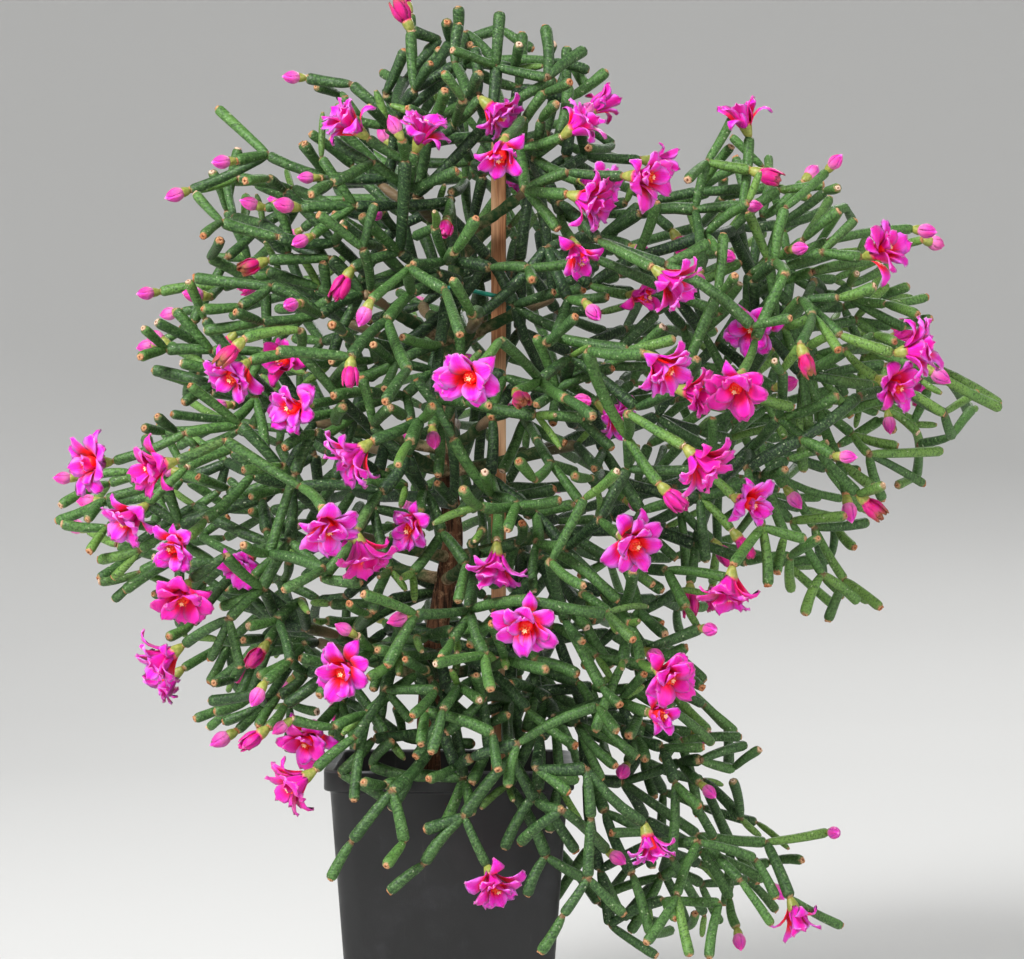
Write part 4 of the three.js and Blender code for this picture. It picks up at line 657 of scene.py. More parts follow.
class Crown:
    """The whole crown: its joints, its stems, and the straight round solids that fill its room."""

    MOST_SOLIDS = 9000
    ROUNDING = 0.001
    FIRST_SEED = 20731
    SEED_STEP = 48271
    SEED_RANGE = 2147483647

    def __init__(self):
        self.seed = self.FIRST_SEED
        self.cover = np.zeros((SQUARES, SQUARES))
        self.joints = []
        self.stems = []
        self.solids = []
        self.middles = np.zeros((self.MOST_SOLIDS, 3))
        self.reaches = np.zeros(self.MOST_SOLIDS)
        self.laterals = lateral_list()
        self.filling = False

    def draw(self):
        """A small seeded generator, so the plant grows the same each time"""
        self.seed = (self.seed * self.SEED_STEP) % self.SEED_RANGE
        return self.seed / self.SEED_RANGE

    def draw_from(self, least, more):
        """A drawn number from the least to what more adds to it"""
        return least + more * self.draw()

    def spread(self, width):
        """A drawn number from -width to width"""
        return (self.draw() - 0.5) * 2 * width

    def add_solid(self, a, b, radius, tail=-1, head=-1):
        """Keeps a round straight solid, and the joints that it joins if it is a stem."""
        middle = mix(a, b, 0.5)
        half = distance(a, b) / 2
        self.middles[len(self.solids)] = middle
        self.reaches[len(self.solids)] = half + radius
        self.solids.append((a, b, radius, tail, head, middle, half))

    def is_clear(self, a, b, radius, tail=-1, head=-1):
        """True where a new solid would stay off all others but those that share its joints"""
        if touches_pot(a, b, radius):
            return False
        middle = mix(a, b, 0.5)
        half = distance(a, b) / 2
        gaps = self.middles[: len(self.solids)] - np.array(middle)
        room = self.reaches[: len(self.solids)] + (half + radius + CLEARANCE + self.ROUNDING)
        for k in np.nonzero((gaps * gaps).sum(axis=1) <= room * room)[0]:
            p, q, thick, solid_tail, solid_head, centre, reach = self.solids[k]
            keep = radius + thick + CLEARANCE
            shares_tail = tail >= 0 and tail in (solid_tail, solid_head)
            shares_head = head >= 0 and head in (solid_tail, solid_head)
            if shares_tail or shares_head or distance(middle, centre) > half + reach + keep:
                continue
            if stem_distance(a, b, p, q) < keep:
                return False
        return True

    def add_stem(self, tail, head):
        joints = self.joints
        joints[tail].kids.append(head)
        joints[head].inward = unit(sub(joints[tail].at, joints[head].at))
        joints[head].added = self.filling
        self.stems.append((tail, head))
        self.add_solid(joints[tail].at, joints[head].at, STEM_RADIUS, tail, head)

    def set_flower(self, joint, kind, facing):
        self.joints[joint].flower = kind
        self.joints[joint].facing = facing
        self.joints[joint].closed = True
        for i, (a, b, radius) in enumerate(flower_solids(kind, self.joints[joint].at, facing)):
            self.add_solid(a, b, radius, joint if i == 0 else -1)

    def place_twig(self, rows, side, first_share, shift_u=0, shift_v=0):
        """Puts a twig at the first share of the depth where it is clear of all that is placed."""
        for attempt in range(2 * len(SHARES)):
            share = SHARES[(attempt + first_share) % len(SHARES)]
            points = twig_points(rows, side, share, shift_u, shift_v)
            facings = [flower_facing(row, points[i], side, shift_u, shift_v) if len(row) > 3 else None
                       for i, row in enumerate(rows)]
            open_enough = attempt >= len(SHARES) or forks_are_open(rows, points)
            if open_enough and self.twig_is_clear(rows, points, facings):
                return self.put_twig(rows, points, facings)
        return -1

    def twig_is_clear(self, rows, points, facings):
        for i, row in enumerate(rows):
            if i > 0 and not self.is_clear(points[row[0]], points[i], STEM_RADIUS):
                return False
            if facings[i]:
                for a, b, radius in flower_solids(row[3], points[i], facings[i]):
                    if not self.is_clear(a, b, radius):
                        return False
        return True

    def put_twig(self, rows, points, facings):
        """Adds a twig's joints, stems and flowers, and gives its first joint."""
        first = len(self.joints)
        for i, row in enumerate(rows):
            self.joints.append(Joint(points[i], -1, i > 0))
            if i > 0:
                self.joints[first + row[0]].closed = False
                self.add_stem(first + row[0], first + i)
        for i, row in enumerate(rows):
            if facings[i]:
                self.set_flower(first + i, row[3], facings[i])
        return first

    def attach_twig(self, root):
        """Joins a loose twig to the plant by a path of stems that leaves a joint already on a spray."""
        goal = self.joints[root].at
        goal_out = off_axis(goal)
        counts = [0] * len(self.laterals)
        for joint in self.joints:
            if joint.spray >= 0:
                counts[joint.spray] += 1
        candidates = []
        for number, joint in enumerate(self.joints):
            if joint.spray < 0 or joint.closed or len(joint.kids) > MOST_KIDS:
                continue
            way = sub(goal, joint.at)
            length = size(way)
            turn = -dot(way, joint.inward) / length if joint.inward else 1
            if length < SHORTEST_LINK or turn < LEAST_TURN:
                continue
            cost = length + len(joint.kids) * COST_KID + (1 - turn) * COST_TURN
            cost += COST_OUTWARD if off_axis(joint.at) > goal_out - OUTWARD_ROOM else 0
            cost += (length - LONG_LINK) * COST_LENGTH if length > LONG_LINK else 0
            cost += counts[joint.spray] * COST_CROWDING
            candidates.append((cost, number, length))
        candidates.sort()
        for cost, number, length in candidates[:MOST_CANDIDATES]:
            path = self.clear_path(number, root, length)
            if path is not None:
                self.grow_path(number, root, path)
                return True
        return False

    def clear_path(self, tail, head, length):
        """Inner points of a clear path between two joints, or None"""
        start = self.joints[tail].at
        goal = self.joints[head].at
        count = max(1, math.floor(length / STEM_LENGTH + 0.5))
        for attempt in range(PATH_TRIES):
            if attempt == STRAIGHT_TRIES and count == 1 and length > EASY_LINK:
                count = 2
            inner = []
            for i in range(1, count):
                t = i / count
                sway = (self.spread(PATH_SWAY), self.spread(PATH_SWAY), self.spread(PATH_SWAY))
                lift = (0, 0, PATH_ARCH * length * t * (1 - t))
                inner.append(add(add(mix(start, goal, t), sway), lift))
            if self.path_is_clear([start, *inner, goal], tail, head):
                return inner
            if count == 1 and length <= EASY_LINK:
                return None
        return None

    def path_is_clear(self, points, tail, head):
        """True for a path that leaves and arrives openly, in long enough stems, clear of all that stands"""
        joints = self.joints
        last = len(points) - 1
        leave = unit(sub(points[1], points[0]))
        arrive = unit(sub(points[last], points[last - 1]))
        for kid in joints[tail].kids:
            if dot(leave, unit(sub(joints[kid].at, joints[tail].at))) > NARROWEST_FORK:
                return False
        for kid in joints[head].kids:
            if dot(arrive, unit(sub(joints[kid].at, joints[head].at))) < SHARPEST_BEND:
                return False
        for i in range(last):
            if last > 1 and distance(points[i], points[i + 1]) < SHORTEST_LINK:
                return False
            from_joint = tail if i == 0 else -1
            to_joint = head if i == last - 1 else -1
            if not self.is_clear(points[i], points[i + 1], STEM_RADIUS, from_joint, to_joint):
                return False
        return True

    def grow_path(self, tail, head, inner):
        spray = self.joints[tail].spray
        last = tail
        for at in inner:
            self.joints.append(Joint(at, spray, False))
            self.add_stem(last, len(self.joints) - 1)
            last = len(self.joints) - 1
        self.add_stem(last, head)
        self.mark_spray(head, spray)

    def mark_spray(self, joint, spray):
        self.joints[joint].spray = spray
        for kid in self.joints[joint].kids:
            self.mark_spray(kid, spray)

    def back_row(self, row):
        """The back has fewer open blooms, and none of them is a large one."""
        if len(row) < 6:
            return row
        chance = self.draw()
        if is_open(row[3]) and chance < BACK_BLOOMS:
            return [row[0], row[1], row[2], "bloom", row[4], row[5]]
        if not is_open(row[3]) and chance < BACK_BUDS:
            return row
        return [row[0], row[1], row[2]]

    def attach_all(self, roots):
        """Joins the twigs on, innermost first, and tries again with those that found no place."""
        order = sorted((off_axis(self.joints[root].at), root) for root in roots if root >= 0)
        left = [root for out, root in order if not self.attach_twig(root)]
        for root in left:
            self.attach_twig(root)

    def grow(self):
        """Grows the crown that the solid model has."""
        for tail, head in zip(TRUNK_PATH, TRUNK_PATH[1:]):
            self.add_solid(tail, head, TRUNK_FOOT_RADIUS)
        for tail, head in self.laterals:
            self.add_solid(tail, head, LATERAL_RADIUS)
        foot = (STAKE_X, STAKE_Y, STAKE_FOOT)
        self.add_solid(foot, (STAKE_X, STAKE_Y, STAKE_TOP), (STAKE_WIDTH + FIT) / 2)
        tie = tie_path()
        for i, point in enumerate(tie):
            self.add_solid(point, tie[(i + 1) % len(tie)], TIE_RADIUS)
        for spray, (tail, head) in enumerate(self.laterals):
            out = unit(sub(head, tail))
            base = along(head, out, FIT)
            self.joints.append(Joint(base, spray, True))
            self.joints.append(Joint(along(base, out, FIRST_STEM), spray, False))
            self.add_stem(len(self.joints) - 2, len(self.joints) - 1)
        roots = [self.place_twig(rows, -1, front_share(rows, i)) for i, rows in enumerate(TWIGS)]
        for i, rows in enumerate(TWIGS):
            shift_u = self.spread(BACK_SHIFT_U)
            shift_v = self.spread(BACK_SHIFT_V)
            kept = self.draw() < BACK_KEPT
            back = [self.back_row(row) for row in rows]
            cascade = rows[0][0] > CASCADE_LEFT_U and rows[0][1] > CASCADE_TOP_V
            if kept and rows[0][1] < BACK_LOWEST_V and not cascade:
                roots.append(self.place_twig(back, 1, (i * 3) % len(SHARES), shift_u, shift_v))
        self.attach_all(roots)

    def heads(self):
        """First joints of the sprays that grew on from their lateral's tip"""
        firsts = range(0, 2 * len(self.laterals), 2)
        return [first for first in firsts if any(not self.joints[kid].added
                for kid in self.joints[self.joints[first].kids[0]].kids)]


def front_share(rows, i):
    """Which share a front twig is tried at first"""
    if any(len(row) > 3 and row[3] == "star" for row in rows):
        return i % 3
    if any(len(row) > 3 and row[3] == "bloom" for row in rows):
        return 1 + (i % 4)
    return (i * 4) % len(SHARES)


def tone(red, green, blue):
    """A linear colour from the 0 to 255 values that a colour picker shows"""
    shares = [level / 255 for level in (red, green, blue)]
    return tuple(share / 12.92 if share <= 0.04045 else ((share + 0.055) / 1.055) ** 2.4 for share in shares)


class NodeBench:
    """Adds nodes to a tree. A value for a socket is another node's output, or what the socket is set to."""

    def __init__(self, tree):
        self.tree = tree

    def node(self, kind, sockets=None, **settings):
        node = self.tree.nodes.new(kind)
        for name, value in settings.items():
            setattr(node, name, value)
        for key, value in (sockets or {}).items():
            if isinstance(value, bpy.types.NodeSocket):
                self.tree.links.new(value, node.inputs[key])
            else:
                node.inputs[key].default_value = value
        return node

    def put(self, kind, sockets=None, slot=0, **settings):
        """Adds a node and gives one of its outputs."""
        return self.node(kind, sockets, **settings).outputs[slot]

    def math(self, operation, a, b=0.0, c=0.0, clamped=False):
        return self.put("ShaderNodeMath", {0: a, 1: b, 2: c}, operation=operation, use_clamp=clamped)

    def times(self, a, b):
        return self.math("MULTIPLY", a, b)

    def plus(self, a, b, share=1.0):
        """One value, and a share of another"""
        return self.math("MULTIPLY_ADD", b, share, a)

    def vector(self, operation, a, b):
        return self.put("ShaderNodeVectorMath", {0: a, 1: b}, operation=operation)

    def fade(self, value, low, high, from_value=0.0, to_value=1.0):
        """A smooth step from one value to another as the input goes from low to high"""
        sockets = {0: value, 1: low, 2: high, 3: from_value, 4: to_value}
        return self.put("ShaderNodeMapRange", sockets, interpolation_type="SMOOTHSTEP")

    def noise(self, place, grain, detail=2.0, roughness=0.5):
        sockets = {"Vector": place, "Scale": grain, "Detail": detail, "Roughness": roughness}
        return self.put("ShaderNodeTexNoise", sockets, "Fac")


class Finish(NodeBench):
    """A material on one Principled surface, painted colour over colour on the object at hand"""

    def __init__(self, name, **constants):
        self.material = bpy.data.materials.new(name)
        self.material.use_nodes = True
        super().__init__(self.material.node_tree)
        self.tree.nodes.clear()
        self.surface = self.node("ShaderNodeBsdfPrincipled")
        self.node("ShaderNodeOutputMaterial", {"Surface": self.surface.outputs[0]})
        self.place = self.put("ShaderNodeTexCoord", slot="Object")
        self.colour = None
        for label, value in constants.items():
            self.surface.inputs[label.replace("_", " ")].default_value = value

    def value(self, name):
        return self.put("ShaderNodeAttribute", slot="Fac", attribute_name=name)

    def grain(self, scale, stretch=None, detail=2.0, roughness=0.5):
        """Noise on the object, drawn out along an axis where its stretch is low"""
        place = self.place
        if stretch:
            place = self.put("ShaderNodeMapping", {"Vector": place, "Scale": (1.0, 1.0, stretch)})
        return self.noise(place, scale, detail, roughness)

    def blend(self, share, a, b):
        a, b = (c if isinstance(c, bpy.types.NodeSocket) else (*c[:3], 1.0) for c in (a, b))
        return self.put("ShaderNodeMix", {0: share, 6: a, 7: b}, 2, data_type="RGBA")

    def base(self, value, low, high, first, second):
        """The ground colour goes from the first to the second as the value goes from low to high."""
        self.colour = self.blend(self.fade(value, low, high), first, second)

    def lay(self, share, colour):
        self.colour = self.blend(share, self.colour, colour)

    def cover(self, value, low, high, colour, most=1.0):
        """Lays a colour over the others where the value goes from low to high."""
        self.lay(self.fade(value, low, high, 0.0, most), colour)

    def wear(self, roughness=None, height=None, depth_mm=0.1, strength=1.0):
        """Ends the material with its colour, and with roughness and relief where they are given."""
        ends = {"Base Color": self.colour, "Roughness": roughness}
        if height is not None:
            ends["Normal"] = self.put("ShaderNodeBump", {"Height": height, "Distance": depth_mm * MM,
                                                         "Strength": strength})
        for label, socket in ends.items():
            if socket is not None:
                self.tree.links.new(socket, self.surface.inputs[label])
        return self.material


def stem_finish(settings):
    """Waxy green skin, paler when young and darker on inner stems as painted shade, with fine cross
    wrinkles, specks and brown collars at the joints
    """
    f = Finish("stem_skin", Roughness=0.5, Specular_IOR_Level=0.4)
    age, tint, from_base = f.value("age"), f.value("tint"), f.value("from_base")
    broad, fine = f.grain(38), f.grain(620, None, 2, 0.7)
    young = f.math("ADD", age, f.plus(-0.35, broad, 0.7), clamped=True)
    # The old green is also painted shade: inner stems get it through their age.
    f.colour = f.blend(young, settings.old_green, settings.young_green)
    f.cover(young, 0.78, 1.0, tone(118, 152, 62), 0.6)
    f.cover(tint, 0.5, 1.0, settings.blue_green, 0.5)
    ringed = f.put("ShaderNodeCombineXYZ", {0: f.times(from_base, 0.55), 1: tint})
    spread = f.put("ShaderNodeMapping", {"Vector": f.place, "Scale": (270, 270, 270)})
    wrinkles = f.noise(f.vector("ADD", ringed, spread), 2.1, 2, 0.65)
    f.cover(wrinkles, 0.5, 0.66, settings.pale_green, 0.3)
    f.cover(wrinkles, 0.47, 0.33, tone(20, 42, 24), 0.5)
    mottle = f.grain(1350, None, 1, 0.6)
    f.cover(mottle, 0.54, 0.7, settings.pale_green, 0.34)
    f.cover(mottle, 0.48, 0.34, tone(20, 42, 22), 0.55)
    f.cover(f.grain(900, None, 0), 0.78, 0.84, tone(182, 196, 158), 0.6)
    ragged = f.plus(-1.2, fine, 2.4)
    f.cover(f.plus(from_base, ragged), 1.5, 0.3, tone(112, 84, 56))
    f.cover(f.plus(f.value("to_tip"), ragged), 0.7, 0.0, tone(150, 124, 84))
    f.cover(f.plus(f.value("cork"), f.plus(-0.4, broad, 0.8)), 0.35, 0.75, tone(128, 104, 76))
    return f.wear(f.fade(fine, 0.2, 0.8, 0.42, 0.62), wrinkles, 0.5)


def wool_finish(settings):
    """Tan wool in the round cap at a stem's end, brown in its middle, with a painted highlight on its raised
    fluff
    """
    f = Finish("areole_wool", Roughness=0.95, Specular_IOR_Level=0.15)
    tint, fluff_and_highlight = f.value("tint"), f.grain(1500, None, 3, 0.7)
    f.colour = f.blend(tint, settings.wool, tone(196, 152, 112))
    f.cover(tint, 0.8, 0.95, tone(226, 196, 172))
    # Painted highlight: paler tan where the fluff is raised.
    f.cover(fluff_and_highlight, 0.45, 0.75, tone(228, 192, 152), 0.8)
    f.cover(fluff_and_highlight, 0.45, 0.3, tone(112, 70, 46), 0.7)
    f.cover(f.plus(f.value("centre"), fluff_and_highlight, 0.5), 0.78, 0.35, tone(104, 50, 30))
    return f.wear(None, fluff_and_highlight, 0.5)


def petal_finish(settings):
    """Glossy veined tepals, paler to the edges, with an orange-red throat. Buds are pale at their foot."""
    f = Finish("tepal", Roughness=0.45, Specular_IOR_Level=0.3, Subsurface_Weight=0.2,
               Subsurface_Scale=0.003, Sheen_Weight=0.1)
    reach, side, upper, tint, wither = (f.value(n) for n in ("reach", "side", "upper", "tint", "wither"))
    aside = f.math("ABSOLUTE", side)
    streak = f.noise(f.put("ShaderNodeCombineXYZ", {0: f.times(side, 9.0), 1: reach, 2: tint}), 1.7)
    f.base(streak, 0.32, 0.68, settings.deep_petal, settings.petal)
    pale = f.times(f.fade(f.plus(aside, streak, 0.5), 0.42, 1.15), f.fade(reach, 0.25, 0.7))
    pale = f.times(pale, f.fade(tint, 0.1, 0.9, 0.35, 1.0))
    f.lay(f.times(pale, f.fade(wither, 0.0, 0.3, 1.0, 0.2)), settings.pale_petal)
    f.cover(f.plus(reach, streak, 0.12), 0.96, 1.08, tone(255, 186, 238), 0.6)
    under = f.times(f.math("SUBTRACT", 1.0, upper), f.fade(aside, 0.7, 0.1))
    f.lay(f.times(under, 0.5), tone(205, 20, 128))
    throat = f.fade(f.plus(reach, streak, 0.16), 0.72, 0.42)
    f.lay(f.times(throat, f.fade(upper, 0.3, 0.7)), settings.throat)
    f.cover(tint, 0.5, 0.0, tone(244, 8, 140), 0.45)
    f.lay(f.times(wither, 0.8), settings.spent)
    budding = f.times(f.fade(wither, 0.1, 0.2), f.fade(wither, 0.4, 0.3))
    f.lay(f.times(budding, f.fade(f.plus(reach, streak, 0.3), 0.95, 0.1, 0.1, 0.85)), tone(255, 140, 196))
    f.cover(f.plus(f.plus(wither, reach, 0.6), streak, 0.3), 1.42, 1.68, tone(146, 84, 52))
    return f.wear(f.fade(streak, 0.2, 0.8, 0.36, 0.52), streak, 0.22, 0.7)


def ovary_finish(settings):
    """The swollen yellow-olive base of a flower, reddish where the tepals leave it, with painted highlights
    in a lighter olive over its fine grain
    """
    f = Finish("flower_base", Roughness=0.45, Specular_IOR_Level=0.4, Subsurface_Weight=0.08,
               Subsurface_Scale=0.001)
    reach, fine = f.value("reach"), f.grain(700, None, 3)
    # Painted highlights: a lighter olive where the fine grain is raised.
    f.base(fine, 0.3, 0.7, settings.ovary, tone(162, 164, 84))
    f.cover(f.plus(reach, fine, 0.3), 0.3, 0.1, tone(140, 96, 60), 0.7)
    f.cover(f.plus(reach, fine, 0.25), 0.78, 1.0, tone(222, 56, 108))
    return f.wear(None, fine, 0.15, 0.7)


def pistil_finish(settings):
    """Orange-red stamens round a pale stigma"""
    f = Finish("stamens", Roughness=0.5)
    reach = f.value("reach")
    f.base(reach, 0.5, 0.78, settings.throat, tone(255, 132, 62))
    f.cover(reach, 0.85, 0.98, tone(255, 206, 160))
    return f.wear()


def bark_finish(settings):
    """Stringy reddish bark on the trunk, paler and scaly on the laterals"""
    f = Finish("woody_bark", Roughness=0.9, Specular_IOR_Level=0.2)
    age, fibres, scales = f.value("age"), f.grain(900, 0.1, 5, 0.65), f.grain(420, None, 4, 0.7)
    f.base(fibres, 0.36, 0.64, tone(44, 30, 22), settings.bark)
    f.cover(scales, 0.52, 0.68, tone(178, 138, 104), 0.7)
    f.cover(scales, 0.42, 0.3, tone(36, 34, 22), 0.75)
    f.cover(age, 0.1, 0.5, f.blend(f.fade(scales, 0.35, 0.62), tone(96, 72, 52), tone(178, 150, 118)))
    green = f.blend(f.fade(scales, 0.4, 0.7, 0.0, 0.7), tone(44, 72, 40), tone(112, 118, 76))
    f.cover(f.plus(age, f.grain(90, None, 3), 0.5), 0.84, 1.02, green)
    return f.wear(None, f.blend(age, fibres, scales), 0.9)


def stake_finish(settings):
    """Weathered split wood, with long grain and dark flecks"""
    f = Finish("stake_wood", Roughness=0.82, Specular_IOR_Level=0.25)
    grain = f.grain(1400, 0.035, 5, 0.6)
    f.base(grain, 0.32, 0.66, tone(140, 88, 58), settings.stake)
    f.cover(f.grain(160, 0.12), 0.45, 0.7, tone(230, 190, 150), 0.75)
    f.cover(grain, 0.34, 0.27, tone(58, 34, 24), 0.8)
    return f.wear(f.fade(grain, 0.3, 0.7, 0.9, 0.72), grain, 0.4, 0.8)


def wire_finish(settings):
    """Blue-green plastic over the tie's wire"""
    f = Finish("tie_plastic", Roughness=0.32, Coat_Weight=0.1)
    cloud = f.grain(240)
    f.base(cloud, 0.35, 0.7, settings.wire, tone(40, 158, 128))
    return f.wear(f.fade(cloud, 0.2, 0.8, 0.26, 0.42), f.grain(1600), 0.05, 0.5)


def pot_finish(settings):
    """Near-black moulded plastic, dusty and scuffed, with a pale painted highlight along the edge of the rim
    """
    f = Finish("pot_plastic", Roughness=0.45, Specular_IOR_Level=0.5)
    dust, streaks = f.grain(55, None, 5, 0.65), f.grain(230, 0.12, 4, 0.6)
    height = f.put("ShaderNodeSeparateXYZ", {0: f.place}, 2)
    f.colour = f.blend(f.fade(dust, 0.5, 0.8, 0.0, 0.4), settings.pot, tone(58, 58, 62))
    f.cover(streaks, 0.62, 0.8, tone(92, 88, 84), 0.3)
    # Painted highlight: a thin pale grey line along the top edge of the rim.
    f.cover(f.plus(height, dust, 0.0012), 0.1236, 0.1244, tone(128, 130, 134), 0.55)
    f.cover(f.plus(height, dust, -0.02), 0.004, -0.008, tone(96, 92, 88), 0.25)
    return f.wear(f.fade(dust, 0.3, 0.75, 0.36, 0.62), f.grain(2200), 0.06, 0.5)


def soil_finish(settings):
    """Damp bark and peat in mixed browns"""
    f = Finish("bark_soil", Roughness=0.95, Specular_IOR_Level=0.2)
    crumb, fibres = f.grain(520, None, 5, 0.7), f.grain(1300, None, 3, 0.6)
    f.colour = f.blend(f.value("tint"), tone(44, 30, 22), settings.soil)
    f.cover(crumb, 0.5, 0.7, tone(132, 96, 66), 0.7)
    f.cover(fibres, 0.45, 0.3, tone(24, 17, 13), 0.7)
    return f.wear(None, f.plus(crumb, fibres), 0.8)


class ShapeTree(NodeBench):
    """A geometry node tree with named inputs, ended in Realize Instances and Set Material"""

    def __init__(self, name, inputs):
        super().__init__(bpy.data.node_groups.new(name, "GeometryNodeTree"))
        face = self.tree.interface
        self.ids = {}
        for label, (kind, default) in {"Geometry": ("Geometry", None), **inputs}.items():
            socket = face.new_socket(name=label, in_out="INPUT", socket_type="NodeSocket" + kind)
            if default is not None:
                socket.default_value = default
            self.ids[label] = socket.identifier
        face.new_socket(name="Geometry", in_out="OUTPUT", socket_type="NodeSocketGeometry")
        self.given = self.node("NodeGroupInput").outputs

    def named(self, name, kind="FLOAT"):
        """A value that the points carry"""
        node = self.node("GeometryNodeInputNamedAttribute", {"Name": name}, data_type=kind)
        return next(socket for socket in node.outputs if socket.enabled)

    def height_of(self, kind):
        return self.put("ShaderNodeSeparateXYZ", {0: self.put(kind)}, 2)

    def chance(self, low, high, seed, kind="FLOAT"):
        """A random number, whole number or vector for each point, always the same for one seed"""
        first, slot = {"FLOAT_VECTOR": (0, 0), "FLOAT": (2, 1), "INT": (4, 2)}[kind]
        sockets = {first: low, first + 1: high, "Seed": seed}
        return self.put("FunctionNodeRandomValue", sockets, slot, data_type=kind)

    def place_shapes(self, points, which, turn, large):
        """Copies of the given shapes on points"""
        shapes = self.put("GeometryNodeCollectionInfo", {"Collection": self.given["Shapes"],
                                                         "Separate Children": True, "Reset Children": True})
        turn = self.put("FunctionNodeEulerToRotation", {0: turn})
        return self.put("GeometryNodeInstanceOnPoints", {
            "Points": points, "Instance": shapes, "Pick Instance": True, "Instance Index": which,
            "Rotation": turn, "Scale": large})

    def end(self, geometry, finishes):
        """finishes: (material socket, selection socket or None) pairs"""
        last = self.put("GeometryNodeRealizeInstances", {"Geometry": geometry})
        for finish, selection in finishes:
            sockets = {"Geometry": last, "Material": finish}
            if selection is not None:
                sockets["Selection"] = selection
            last = self.put("GeometryNodeSetMaterial", sockets)
        self.node("NodeGroupOutput", {"Geometry": last})

    def apply(self, piece, values):
        """Runs the tree on a piece and keeps the result as its plain mesh."""
        modifier = piece.modifiers.new("shape", "NODES")
        modifier.node_group = self.tree
        for label, value in values.items():
            modifier[self.ids[label]] = value
        keep_result(piece)
        return piece


def keep_result(piece):
    """Makes what a piece's modifiers give its plain mesh, and removes them."""
    depsgraph = bpy.context.evaluated_depsgraph_get()
    done = piece.evaluated_get(depsgraph)
    mesh = bpy.data.meshes.new_from_object(done, preserve_all_data_layers=True, depsgraph=depsgraph)
    piece.modifiers.clear()
    rough = piece.data
    piece.data = mesh
    bpy.data.meshes.remove(rough)
    mesh.name = piece.name
    if not mesh.polygons:
        raise RuntimeError(piece.name + " came out empty")


def tube_tree():
    """Round closed tubes along chains of edges, as thick as the points say"""
    tree = ShapeTree("tubes", {"Sides": ("Int", 10), "Ridge depth": ("Float", 0.0),
                               "Ridge grain": ("Float", 400.0), "Ridge stretch": ("Vector", (1.0, 1.0, 1.0)),
                               "Finish": ("Material", None)})
    curves = tree.put("GeometryNodeMeshToCurve", {"Mesh": tree.given["Geometry"]})
    ring = tree.put("GeometryNodeCurvePrimitiveCircle", {"Resolution": tree.given["Sides"], "Radius": 1.0},
                    mode="RADIUS")
    tube = tree.put("GeometryNodeCurveToMesh", {"Curve": curves, "Profile Curve": ring, "Fill Caps": True,
                                                "Scale": tree.named("girth")})
    place = tree.vector("MULTIPLY", tree.put("GeometryNodeInputPosition"), tree.given["Ridge stretch"])
    ridges = tree.noise(place, tree.given["Ridge grain"], 3.0)
    lift = tree.times(tree.math("SUBTRACT", ridges, 0.5), tree.given["Ridge depth"])
    offset = tree.put("ShaderNodeVectorMath", {0: tree.put("GeometryNodeInputNormal"), "Scale": lift},
                      operation="SCALE")
    rough = tree.put("GeometryNodeSetPosition", {"Geometry": tube, "Offset": offset})
    tree.end(tree.put("GeometryNodeSetShadeSmooth", {"Geometry": rough}), [(tree.given["Finish"], None)])
    return tree


def copies_tree():
    """Copies of numbered shapes on points that carry their shape, turn and size"""
    labels = ("Finish", "Second finish", "Third finish")
    tree = ShapeTree("copies", {"Shapes": ("Collection", None), **dict.fromkeys(labels, ("Material", None))})
    points = tree.put("GeometryNodeMeshToPoints", {"Mesh": tree.given["Geometry"]})
    placed = tree.place_shapes(points, tree.named("shape", "INT"), tree.named("turn", "FLOAT_VECTOR"),
                               tree.named("size", "FLOAT_VECTOR"))
    kind = tree.named("kind", "INT")
    second, third = (tree.put("FunctionNodeCompare", {2: kind, 3: number}, data_type="INT", operation="EQUAL")
                     for number in (1, 2))
    tree.end(placed, [(tree.given[label], chosen) for label, chosen in zip(labels, (None, second, third))])
    return tree


def scatter_tree():
    """Chips strewn over the upward faces of a bed, which stays under them"""
    tree = ShapeTree("strewn_chips", {"Shapes": ("Collection", None), "Finish": ("Material", None),
                                      "Number per square metre": ("Float", 30000.0), "Seed": ("Int", 7)})
    flat = tree.math("GREATER_THAN", tree.height_of("GeometryNodeInputNormal"), 0.6)
    high = tree.math("GREATER_THAN", tree.height_of("GeometryNodeInputPosition"), 0.1)
    points = tree.put("GeometryNodeDistributePointsOnFaces", {
        "Mesh": tree.given["Geometry"], "Selection": tree.times(flat, high),
        "Density": tree.given["Number per square metre"], "Seed": tree.given["Seed"]})
    turn = tree.chance((-0.5, -0.5, 0.0), (0.5, 0.5, 6.283), 3, "FLOAT_VECTOR")
    placed = tree.place_shapes(points, tree.chance(0, 3, 5, "INT"), turn, tree.chance(0.6, 1.5, 4))
    sockets = {"Geometry": placed, "Name": "tint", "Value": tree.chance(0.0, 1.0, 6)}
    tinted = tree.put("GeometryNodeStoreNamedAttribute", sockets, data_type="FLOAT", domain="INSTANCE")
    joined = tree.node("GeometryNodeJoinGeometry", {"Geometry": tree.given["Geometry"]})
    tree.tree.links.new(tinted, joined.inputs[0])
    tree.end(joined.outputs[0], [(tree.given["Finish"], None)])
    return tree


def new_piece(name, points, edges=(), faces=(), values=None, closed=True):
    """A scene object from points in millimetres, with named values on them. Closed faces turn outwards."""
    mesh = bpy.data.meshes.new(name)
    mesh.from_pydata([tuple(c * MM for c in p) for p in points], list(edges), list(faces))
    for label, numbers in (values or {}).items():
        set_values(mesh, label, numbers)
    mesh.update()
    if faces and closed:
        bm = bmesh.new()
        bm.from_mesh(mesh)
        bmesh.ops.recalc_face_normals(bm, faces=bm.faces)
        bm.to_mesh(mesh)
        bm.free()
    piece = bpy.data.objects.new(name, mesh)
    bpy.context.scene.collection.objects.link(piece)
    return piece


